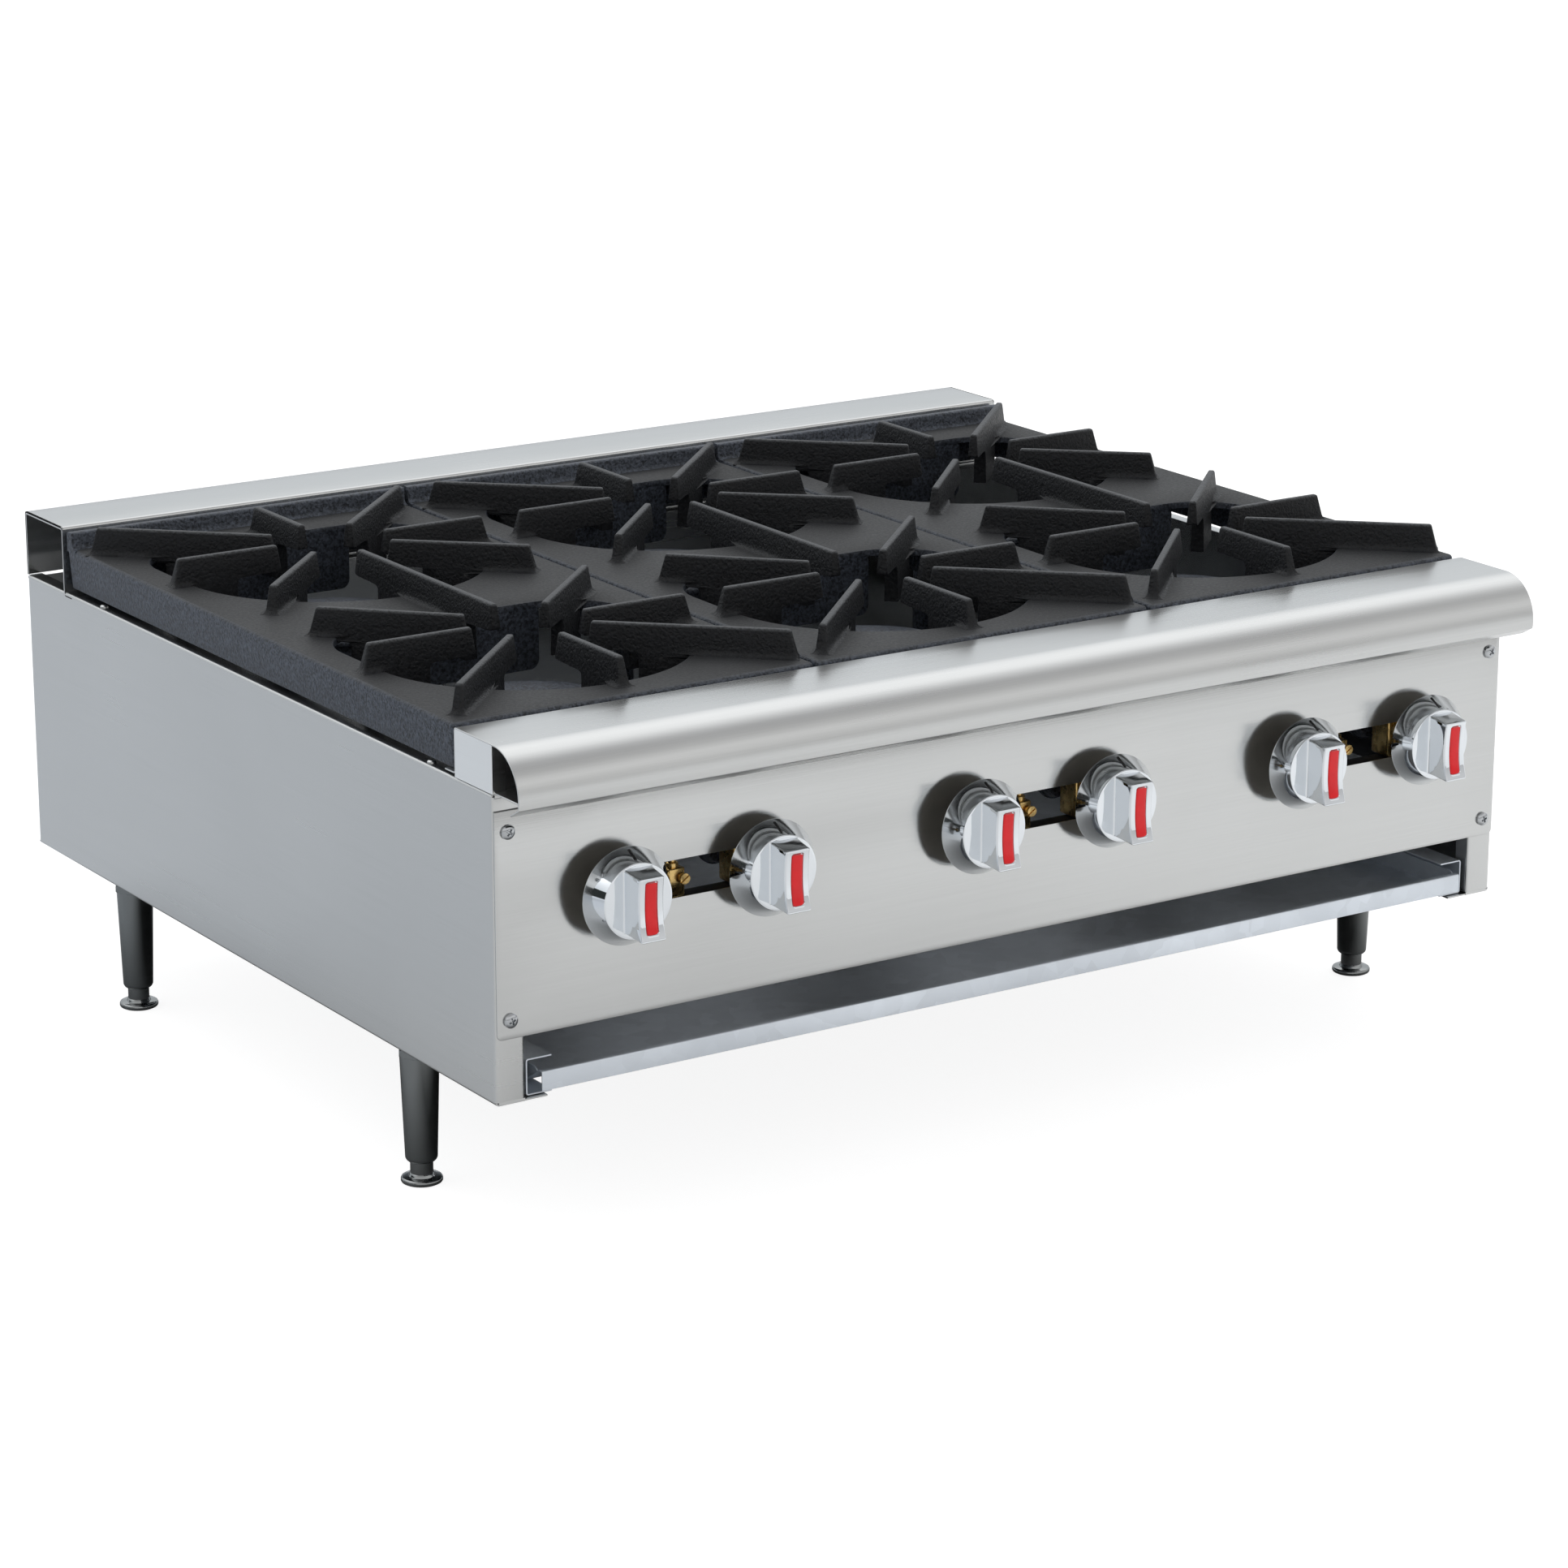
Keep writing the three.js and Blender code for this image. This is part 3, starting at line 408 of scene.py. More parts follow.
def cast_iron(name, settings):
    """Sand-cast iron. The mark "ground" is 1 on the smoother deck, "ridge" is 1 on rounded edges,
    which are made lighter, partly as rubbing wear and partly as a painted highlight where the top
    light catches them, and "fin" is 1 on the blacker pot fingers."""
    iron = tuple(settings.iron_colour)
    finish = Finish(name, iron, 0.0, 0.5)
    finish.shader.inputs["Specular IOR Level"].default_value = 0.32
    grains = finish.noise(430, 3, distortion=0.5)
    sand = finish.noise(1500, 2)
    clouds = finish.noise(14, 3)
    ground, ridge, fin = finish.mark("ground"), finish.mark("ridge"), finish.mark("fin")
    wall = finish.mix(
        finish.spread(grains, 0, 1, 0.35, 0.68), scaled(iron, 0.35), scaled(iron, 1.9))
    black = tuple(settings.finger_colour)
    finger = finish.mix(
        finish.spread(grains, 0, 1, 0.35, 0.7), scaled(black, 0.5), scaled(black, 1.8))
    deck = finish.mix(
        finish.spread(clouds, 0, 1), tuple(settings.deck_colour), scaled(settings.deck_colour, 1.35))
    body = finish.mix(ground, finish.mix(fin, wall, finger), deck)
    # Painted highlight and wear: the rounded ridges are made lighter, broken up by the grains.
    rubbed_and_lit = finish.math("MULTIPLY", ridge, finish.spread(grains, 0.2, 1.0))
    colour = finish.mix(rubbed_and_lit, body, tuple(settings.rubbed_and_lit_colour))
    rough = finish.math(
        "ADD", finish.spread(grains, 0.40, 0.58), finish.math("MULTIPLY", ground, 0.10))
    coarse = finish.spread(ground, 0.9, 0.22, 0, 1)
    relief = finish.bump(grains, 0.0012, coarse)
    relief = finish.bump(sand, 0.0004, 0.4, relief)
    return finish.feed(base_color=colour, roughness=rough, normal=relief)


def bright_plating(name, colour, roughness=0.05):
    """Chrome or nickel plating: nearly a mirror, with a faint ripple and haze."""
    finish = Finish(name, colour, 1.0, roughness)
    ripple = finish.noise(60, 2)
    haze = finish.noise(25, 4, distortion=0.5)
    rough = finish.spread(haze, roughness * 0.6, roughness * 1.9)
    tone = finish.mix(finish.spread(haze, 0, 1), scaled(colour, 0.96), colour)
    return finish.feed(
        base_color=tone, roughness=rough, normal=finish.bump(ripple, 0.0004, 0.12))


def zinc_sheet(name, colour, roughness=0.36):
    """Zinc-coated sheet: bluish, with soft spangle and light rubbing."""
    finish = Finish(name, colour, 0.85, roughness)
    spangle = finish.nodes.new("ShaderNodeTexVoronoi")
    spangle.inputs["Scale"].default_value = 70
    finish.links.new(finish.place, spangle.inputs["Vector"])
    flakes = finish.spread(spangle.outputs["Color"], 0.0, 1.0, 0.1, 0.9)
    clouds = finish.noise(9, 4, distortion=0.4)
    tone = finish.mix(flakes, scaled(colour, 0.93), scaled(colour, 1.05))
    tone = finish.mix(finish.spread(clouds, 0, 0.5), tone, scaled(colour, 0.8))
    rough = finish.spread(clouds, roughness - 0.06, roughness + 0.1)
    return finish.feed(
        base_color=tone, roughness=rough, normal=finish.bump(clouds, 0.0003, 0.2))


def dull_metal(name, colour, metallic=0.7, roughness=0.55):
    """Dark oxidised or painted steel with uneven patches."""
    finish = Finish(name, colour, metallic, roughness)
    patches = finish.noise(18, 4, distortion=0.3)
    grain = finish.noise(900, 2)
    tone = finish.mix(finish.spread(patches, 0, 1), scaled(colour, 0.7), scaled(colour, 1.25))
    rough = finish.spread(patches, roughness - 0.1, roughness + 0.1)
    return finish.feed(
        base_color=tone, roughness=rough, normal=finish.bump(grain, 0.0002, 0.25))


def machined_brass(name, colour):
    """Turned and milled brass, bright with tarnish in patches."""
    finish = Finish(name, colour, 1.0, 0.22)
    tarnish = finish.noise(160, 4, distortion=0.4)
    turning = finish.noise(2200, 1, (1.0, 0.05, 1.0))
    tone = finish.mix(finish.spread(tarnish, 0, 1, 0.45, 0.75), colour, scaled(colour, 0.45))
    rough = finish.spread(tarnish, 0.16, 0.4)
    return finish.feed(
        base_color=tone, roughness=rough, normal=finish.bump(turning, 0.00004, 0.5))


def moulded_plastic(name, colour, roughness):
    """Glossy moulded plastic with a faint orange peel and a slightly deeper tone in places."""
    finish = Finish(name, colour, 0.0, roughness)
    finish.shader.inputs["Coat Weight"].default_value = 0.25
    finish.shader.inputs["Specular IOR Level"].default_value = 0.3
    finish.shader.inputs["Coat Roughness"].default_value = 0.05
    peel = finish.noise(420, 2)
    depth = finish.noise(90, 2)
    tone = finish.mix(finish.spread(depth, 0, 1), scaled(colour, 0.88), colour)
    rough = finish.spread(peel, roughness * 0.8, roughness * 1.3)
    return finish.feed(
        base_color=tone, roughness=rough, normal=finish.bump(peel, 0.0001, 0.15))


_made = {}


def shared(name, make, *values):
    """The material of that name, made the first time it is asked for."""
    if name not in _made:
        _made[name] = make(name, *values)
    return _made[name]


# ---------------------------------------------------------------- settings


def length(name, description, default):
    """A length that the user may change."""
    return FloatProperty(
        name=name, description=description, default=default, min=0.0, unit="LENGTH",
        precision=4)


def colour(name, description, default):
    """A colour that the user may change."""
    return FloatVectorProperty(
        name=name, description=description, default=default, min=0.0, max=1.0, size=3,
        subtype="COLOR")


def amount(name, description, default, top=1.0):
    """A number from 0 to top that the user may change."""
    return FloatProperty(
        name=name, description=description, default=default, min=0.0, max=top,
        subtype="FACTOR" if top == 1.0 else "NONE")


class RangeCaseSettings(bpy.types.PropertyGroup):
    sheet: length("Sheet", "Thickness of the stainless sheet", 0.0012)
    fold: length("Fold radius", "Inside radius of the folds", 0.0012)
    edge: length("Edge rounding", "Rounding of the cut edges", 0.0003)
    steel_colour: colour("Steel", "Colour of the stainless steel", (0.61, 0.615, 0.61))
    steel_roughness: amount("Panel roughness", "How dull the control panel is", 0.16)
    side_roughness: amount("Side roughness", "How dull the sides and rear are", 0.24)
    rail_roughness: amount("Rail roughness", "How dull the front rail is", 0.27)
    brushing: amount("Brushing", "Depth of the hair lines", 0.32)
    # Painted light: the end plates' steel is made brighter than the rest of the steel, standing in
    # for the light they catch.
    plate_painted_light: amount("End plates", "How much brighter the front rail's end plates are", 1.42, 2.0)
    dark_colour: colour("Inner parts", "Colour of the dark steel inside", (0.035, 0.035, 0.037))


class RangeGrateSettings(bpy.types.PropertyGroup):
    ridge_half: length("Finger ridge", "Half thickness of a pot finger at its top", 0.0027)
    root_half: length("Finger root", "Half thickness of a pot finger at the deck", 0.0046)
    fillet: length("Fillet", "Radius where a finger meets the deck", 0.0042)
    deck: length("Deck", "Thickness of the deck", 0.0058)
    iron_colour: colour("Iron", "Colour of the sand-cast walls", (0.054, 0.062, 0.078))
    finger_colour: colour("Fingers", "Colour of the pot fingers", (0.0052, 0.0058, 0.0072))
    deck_colour: colour("Deck colour", "Colour of the smoother deck", (0.024, 0.0250, 0.0262))
    # Ridge colour: partly rubbing wear, partly a painted highlight where the top light catches the
    # rounded edges.
    rubbed_and_lit_colour: colour("Rubbed edges", "Colour of rubbed ridges", (0.085, 0.089, 0.095))


class RangeKnobSettings(bpy.types.PropertyGroup):
    bar_half: length("Grip", "Half width of the grip bar at its front", 0.0100)
    hollow: length("Hollow", "How far the grip's front is hollowed", 0.0040)
    inlay_half: length("Inlay", "Half width of the inlay", 0.0046)
    chrome_colour: colour("Chrome", "Colour of the plating", (0.80, 0.83, 0.86))
    inlay_colour: colour("Inlay colour", "Colour of the inlay", (0.86, 0.008, 0.014))
    mark_colour: colour("Mark", "Colour of the pointer's dash", (0.01, 0.01, 0.01))
    # Painted shade: the disc closing the knob's hollow back is dulled to stand in for the shade
    # there.
    knob_back_shade_colour: colour("Inside", "Colour of the knob's hollow back", (0.34, 0.32, 0.285))


class RangeBurnerSettings(bpy.types.PropertyGroup):
    ports: IntProperty(name="Ports", description="Flame ports round a burner", default=40)
    port_depth: length("Port depth", "How deep the ports are cut", 0.0022)
    brass_colour: colour("Brass", "Colour of valves and pilots", (0.72, 0.50, 0.20))
    tube_colour: colour("Pilot tube", "Colour of the pilot tubes", (0.62, 0.63, 0.65))


class RangeTraySettings(bpy.types.PropertyGroup):
    sheet: length("Sheet", "Thickness of the tray's sheet", 0.0010)
    zinc_colour: colour("Zinc", "Colour of the zinc coating", (0.80, 0.85, 0.91))


class RangeLegSettings(bpy.types.PropertyGroup):
    # Painted shade: the legs' plating is set far darker than nickel's own colour, standing in for
    # the shaded floor under the range that they mirror.
    leg_plating_shade_colour: colour("Nickel", "Colour of the legs", (0.215, 0.225, 0.225))
    foot_colour: colour("Foot", "Colour of the feet", (0.30, 0.31, 0.31))


class RangeStageSettings(bpy.types.PropertyGroup):
    lens: FloatProperty(name="Lens", description="Focal length", default=109.16, unit="CAMERA")
    floor_colour: colour("Floor", "Colour of the floor as seen", (0.30, 0.30, 0.30))
    floor_glow: amount("Floor glow", "Added brightness of the floor as seen", 0.88, 10.0)
    front_colour: colour("Front floor", "Colour mirrored from the front", (1.0, 1.0, 0.995))
    side_colour: colour("Side floor", "Colour mirrored from the left", (0.64, 0.67, 0.71))
    # Painted shadow: the floor colour mirrored from under the range stands in for the range's shadow
    # there.
    shadow_below_colour: colour("Floor below", "Colour mirrored from under the range", (0.06, 0.06, 0.06))
    sky: amount("Sky", "Brightness of the studio round the range", 1.32, 10.0)
    lamp: FloatProperty(
        name="Lamp", description="Power of the overhead soft box", default=9.0, min=0.0,
        unit="POWER")


# ---------------------------------------------------------------- pieces


class GASRANGE_OT_camera(bpy.types.Operator):
    """Adds the camera, a long lens to the left of the range and a little above it"""

    bl_idname = "gas_range.camera"
    bl_label = "Camera"

    def execute(self, context):
        camera = bpy.data.cameras.new("camera")
        camera.lens = context.scene.gas_range_stage.lens
        camera.sensor_width = 36.0
        holder = bpy.data.objects.new("camera", camera)
        context.scene.collection.objects.link(holder)
        holder.location = (-2.0050, FRONT - 2.7186, BASE + 1.1523)
        holder.rotation_euler = [math.radians(turn) for turn in (73.634, -0.0585, -33.317)]
        context.scene.camera = holder
        return {"FINISHED"}


def side_steel(settings):
    """The side panels' finish. Its grain turns with the sheet at the front edge."""
    return shared("stainless_sides", brushed_steel, settings, (0, 1), settings.side_roughness)


def side_panel(side, settings):
    """Side panel: the web and its front and rear returns are one bent sheet run up Z, and
    the top and bottom flanges are two more, run along Y."""
    sheet_t, fold = settings.sheet, settings.fold
    radius = fold + sheet_t
    outer = HALF_WIDTH
    upright = rounded_path([
        (outer - FLANGE, FRONT + LIP),
        (outer - FLANGE, FRONT),
        (outer, FRONT),
        (outer, REAR),
        (outer - REAR_FLANGE, REAR),
    ], radius)
    web = along(2, sheet(upright, sheet_t), BASE + radius, CASE_TOP - radius)
    parts = [web]
    for reach, edge_z, inward in ((TOP_FLANGE, CASE_TOP, -1), (BOTTOM_FLANGE, BASE, 1)):
        path = rounded_path([
            (outer - reach, edge_z),
            (outer, edge_z),
            (outer, edge_z + inward * radius * 1.01),
        ], radius)
        outline = sheet(path, sheet_t * inward)
        parts.append(along(1, outline, FRONT + 0.0004, REAR - 0.0004))
        corner = sheet(rounded_path([
            (FRONT + LIP, edge_z + inward * radius),
            (FRONT, edge_z + inward * radius),
            (FRONT, edge_z),
        ], 0.0001), sheet_t)
        parts.append(along(0, corner, outer - FLANGE, outer - radius))
    for y in (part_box("leg_front_left")[0].y - 0.033, REAR - 0.131):
        button = lathe([
            (0.0001, 0), (0.0035, 0), (0.0035, 0.0010), (0.0025, 0.0020), (0.0001, 0.0022)], 24)
        parts.append(moved(button, (outer - 0.006, y, CASE_TOP - 0.0002)))
    if side < 0:
        parts = [(points * (-1, 1, 1), faces, marks) for points, faces, marks in parts]
    return parts


class GASRANGE_OT_case(bpy.types.Operator):
    """Adds the side panels and the backguard as bent sheets"""

    bl_idname = "gas_range.case"
    bl_label = "Case"

    def execute(self, context):
        settings = context.scene.gas_range_case
        steel_y = side_steel(settings)
        steel_x = shared(
            "stainless_backguard", brushed_steel, settings, (0,), settings.side_roughness)
        for word, side in SIDES:
            add_piece(
                f"side_panel_{word}_sheet", side_panel(side, settings), steel_y, "case",
                [f"side_panel_{word}"], settings.edge)
        low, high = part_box("backguard")
        top, hem, drop = high.z, 0.0023, low.z
        front = high.y - GUARD_DEPTH
        path = rounded_path([
            (high.y, drop + 0.0002),
            (high.y, top),
            (front, top),
            (front, drop - 0.0025),
            (front - GUARD_FOOT, drop - 0.0025),
        ], settings.fold + settings.sheet)
        parts = [along(0, sheet(path, settings.sheet), -HALF_WIDTH, HALF_WIDTH)]
        for _, side in SIDES:
            ends = sorted((side * HALF_WIDTH, side * (HALF_WIDTH - 0.0012)))
            parts.append(along(0, sheet(path[:-6], hem), *ends))
        add_piece(
            "backguard_sheet", parts, steel_x, "case", ["backguard"], settings.edge)
        return {"FINISHED"}


class GASRANGE_OT_bullnose(bpy.types.Operator):
    """Adds the rolled front rail with its end plates and closing web"""

    bl_idname = "gas_range.bullnose"
    bl_label = "Front rail"

    def execute(self, context):
        settings = context.scene.gas_range_case
        t = settings.sheet
        low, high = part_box("bullnose_rail")
        nose, top, rear = low.y, high.z, high.y - 0.0135
        roll, apron = NOSE_ROLL, BASE + NOSE_APRON
        turn = np.linspace(math.pi / 2, math.pi, 28)
        arc = np.stack([nose + roll + roll * np.cos(turn), top - roll + roll * np.sin(turn)], 1)
        ledge_z = CASE_TOP + 0.004
        ledge = rounded_path(
            [(rear + 0.0135, ledge_z), (rear, ledge_z), (rear, top), (rear - 0.02, top)],
            (0.0015, 0.0022))
        hem = rounded_path(
            [(nose, top - roll), (nose + 0.0004, apron), (nose + 0.0119, apron - 0.0066)], 0.0016)
        path = np.vstack([ledge, arc[1:-1], hem])
        roll_part = along(0, sheet(path, t), -HALF_WIDTH, HALF_WIDTH)
        deck_z = CASE_TOP + 0.0003
        web_y = FRONT + 0.002
        parts, plates = [roll_part], []
        for _, side in SIDES:
            plate_front = FRONT - 0.002
            ends = sorted((side * HALF_WIDTH, side * (HALF_WIDTH - t)))
            outline = rounded_rectangle(plate_front, rear - 0.0004, deck_z, top - 0.0008, 0.0006, 3)
            plates.append(along(0, outline, *ends))
            lip = sorted((side * (HALF_WIDTH - 0.0002), side * (HALF_WIDTH - 0.011)))
            plates.append(along(0, rounded_rectangle(
                plate_front, plate_front + t, deck_z, top - 0.0012, 0.0004, 3), *lip))
        inside = HALF_WIDTH - 0.0256
        parts.append(along(0, rounded_rectangle(
            web_y, web_y + t, deck_z, top - 0.0008, 0.0004, 3), -HALF_WIDTH + t, HALF_WIDTH - t))
        parts.append(along(0, rounded_rectangle(
            web_y, web_y + t, BASE + 0.205, deck_z + 0.001, 0.0004, 3), -inside, inside))
        parts.append(along(0, rounded_rectangle(
            nose + 0.0016, web_y - 0.0004, deck_z, deck_z + t, 0.0004, 3),
            -HALF_WIDTH + 0.002, HALF_WIDTH - 0.002))
        steel = shared(
            "stainless_front_rail", brushed_steel, settings, (0,), settings.rail_roughness)
        add_piece(
            "bullnose_rail_sheet", parts, steel, "case", ["bullnose_rail"],
            settings.edge)
        # Painted light: the end plates get a brighter copy of the steel.
        plate_steel = shared(
            "stainless_end_plates", brushed_steel, settings, (0, 1), 0.2, settings.plate_painted_light)
        add_piece(
            "bullnose_end_plates", plates, plate_steel, "case", edge=settings.edge)
        return {"FINISHED"}


def slotted_plate(x_lines, z_lines, open_cells, y, corner):
    """A flat plate as a grid of cells, without the open ones. The two lower corner cells are
    quarter discs about their upper inner corners."""
    nx = len(x_lines)
    across, up = np.meshgrid(x_lines, z_lines)
    grid = np.stack([across, np.full_like(across, y), up], -1).reshape(-1, 3)
    i, j = np.meshgrid(np.arange(nx - 1), np.arange(len(z_lines) - 1))
    cells = np.stack([i, i + 1, i + 1 + nx, i + nx], -1) + (j * nx)[..., None]
    kept = np.ones(i.shape, bool)
    kept[0, [0, -1]] = False
    columns, rows = np.transpose(list(open_cells))
    kept[rows, columns] = False
    turn = np.linspace(0, math.pi / 2, 6)[1:-1]
    height = z_lines[1] - corner * np.cos(turn)
    arcs = [
        np.stack([x + side * corner * np.sin(turn), np.full_like(turn, y), height], 1)
        for x, side in ((x_lines[1], -1), (x_lines[-2], 1))]
    left, right = len(grid), len(grid) + len(turn)
    faces = cells[kept].tolist()
    faces.append([1, nx + 1, nx, *range(right - 1, left - 1, -1)])
    faces.append([nx - 2, *range(right, right + len(turn)), 2 * nx - 1, 2 * nx - 2])
    return np.vstack([grid, *arcs]), faces, {}


def pan_screw(radius):
    """Pan head with a cross recess, facing +Z: a dome over a polar grid, with the recess
    taken out where the distance from either arm's middle is small."""
    angle = np.linspace(0, 2 * math.pi, 64, endpoint=False)
    r = np.concatenate([np.linspace(0.02, 0.56, 14), [0.7, 0.85, 0.95, 1.0, 1.0]]) * radius
    x, y = r[:, None] * np.cos(angle), r[:, None] * np.sin(angle)
    dome = 0.0031 - 0.0017 * (r / radius) ** 3
    dome[-1] = 0.0
    arm = np.minimum(np.abs(x), np.abs(y))
    tip = np.maximum(np.abs(x), np.abs(y))
    cut = np.clip((0.00075 - arm) / 0.0003, 0, 1) * np.clip((0.0027 - tip) / 0.0003, 0, 1)
    z = dome[:, None] - 0.0016 * cut
    return skin(np.stack([x, y, z], -1))


class GASRANGE_OT_control_panel(bpy.types.Operator):
    """Adds the control panel with its three slots, and the four screws that hold it"""

    bl_idname = "gas_range.control_panel"
    bl_label = "Control panel"

    def execute(self, context):
        settings = context.scene.gas_range_case
        low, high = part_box("control_panel")
        corner = 0.004
        x_lines = [low.x, low.x + corner]
        open_cells = []
        for first in (1, 3, 5):
            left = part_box(f"gas_valve_{first}")
            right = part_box(f"gas_valve_{first + 1}")
            x_lines.append((left[0].x + left[1].x) / 2 - 0.012)
            x_lines.append((right[0].x + right[1].x) / 2 + 0.012)
            open_cells.append((len(x_lines) - 2, 2))
        x_lines += [high.x - corner, high.x]
        slot_low = BASE + SLOT_LOW
        z_lines = [low.z, low.z + corner, slot_low, slot_low + SLOT_HEIGHT, high.z]
        plate = slotted_plate(x_lines, z_lines, open_cells, low.y, corner)
        steel = shared(
            "stainless_control_panel", brushed_steel, settings, (0,), settings.steel_roughness)
        panel = add_piece(
            "control_panel_sheet", [plate], steel, "case", ["control_panel"])
        solid = panel.modifiers.new("Sheet", "SOLIDIFY")
        solid.thickness = settings.sheet
        solid.offset = -1.0 if panel.data.polygons[0].normal.y < 0 else 1.0
        bevel = panel.modifiers.new("Rounded edges", "BEVEL")
        bevel.width = settings.edge
        bevel.segments = 2
        chrome = shared("screw_plating", bright_plating, (0.50, 0.515, 0.53), 0.07)
        for word, _ in SIDES:
            for place in ("lower", "upper"):
                node = f"panel_screw_{place}_{word}"
                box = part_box(node)
                middle = (box[0] + box[1]) / 2
                head = moved(
                    pan_screw((box[1].x - box[0].x) / 2), (middle.x, box[1].y, middle.z),
                    (90, 35 if place == "upper" else -20, 0))
                add_piece(f"{node}_head", [head], chrome, "case", [node])
        return {"FINISHED"}


class GASRANGE_OT_tray(bpy.types.Operator):
    """Adds the crumb tray and its two runners"""

    bl_idname = "gas_range.tray"
    bl_label = "Crumb tray"

    def execute(self, context):
        settings = context.scene.gas_range_tray
        t = settings.sheet
        low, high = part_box("crumb_tray")
        lip_low, lip_top, rim = BASE + 0.006, BASE + 0.0205, high.z
        slope_top, slope_foot = low.y + 0.005, low.y + 0.030
        floor = low.z + t
        path = rounded_path([
            (low.y, lip_low),
            (low.y, lip_top),
            (slope_top, lip_top),
            (slope_foot, floor),
            (high.y, floor),
            (high.y, rim),
        ], (0.0012, 0.0012, 0.006, 0.002))
        pan = along(0, sheet(path, -t), low.x, high.x)
        wall = [
            (slope_top + 0.0015, lip_top - 0.0016),
            (slope_foot, low.z + 0.0004),
            (high.y - 0.0004, low.z + 0.0004),
            (high.y - 0.0004, rim),
            (slope_top + 0.005, rim),
        ]
        parts = [pan]
        for x in (low.x, high.x - t):
            parts.append(along(0, wall, x, x + t))
        zinc = shared("zinc_sheet", zinc_sheet, tuple(settings.zinc_colour))
        add_piece("crumb_tray_pan", parts, zinc, "tray", ["crumb_tray"], 0.0003)
        for word, side in SIDES:
            low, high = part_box(f"tray_runner_{word}")
            web = max(abs(low.x), abs(high.x))
            inner = min(abs(low.x), abs(high.x))
            channel = rounded_path(
                [(inner, low.z), (web, low.z), (web, high.z), (inner, high.z)], 0.002)
            outline = sheet(channel, 0.0012) * (side, 1)
            add_piece(
                f"tray_runner_{word}_channel", [along(1, outline, low.y, high.y)], zinc, "case",
                [f"tray_runner_{word}"], 0.0002)
        return {"FINISHED"}


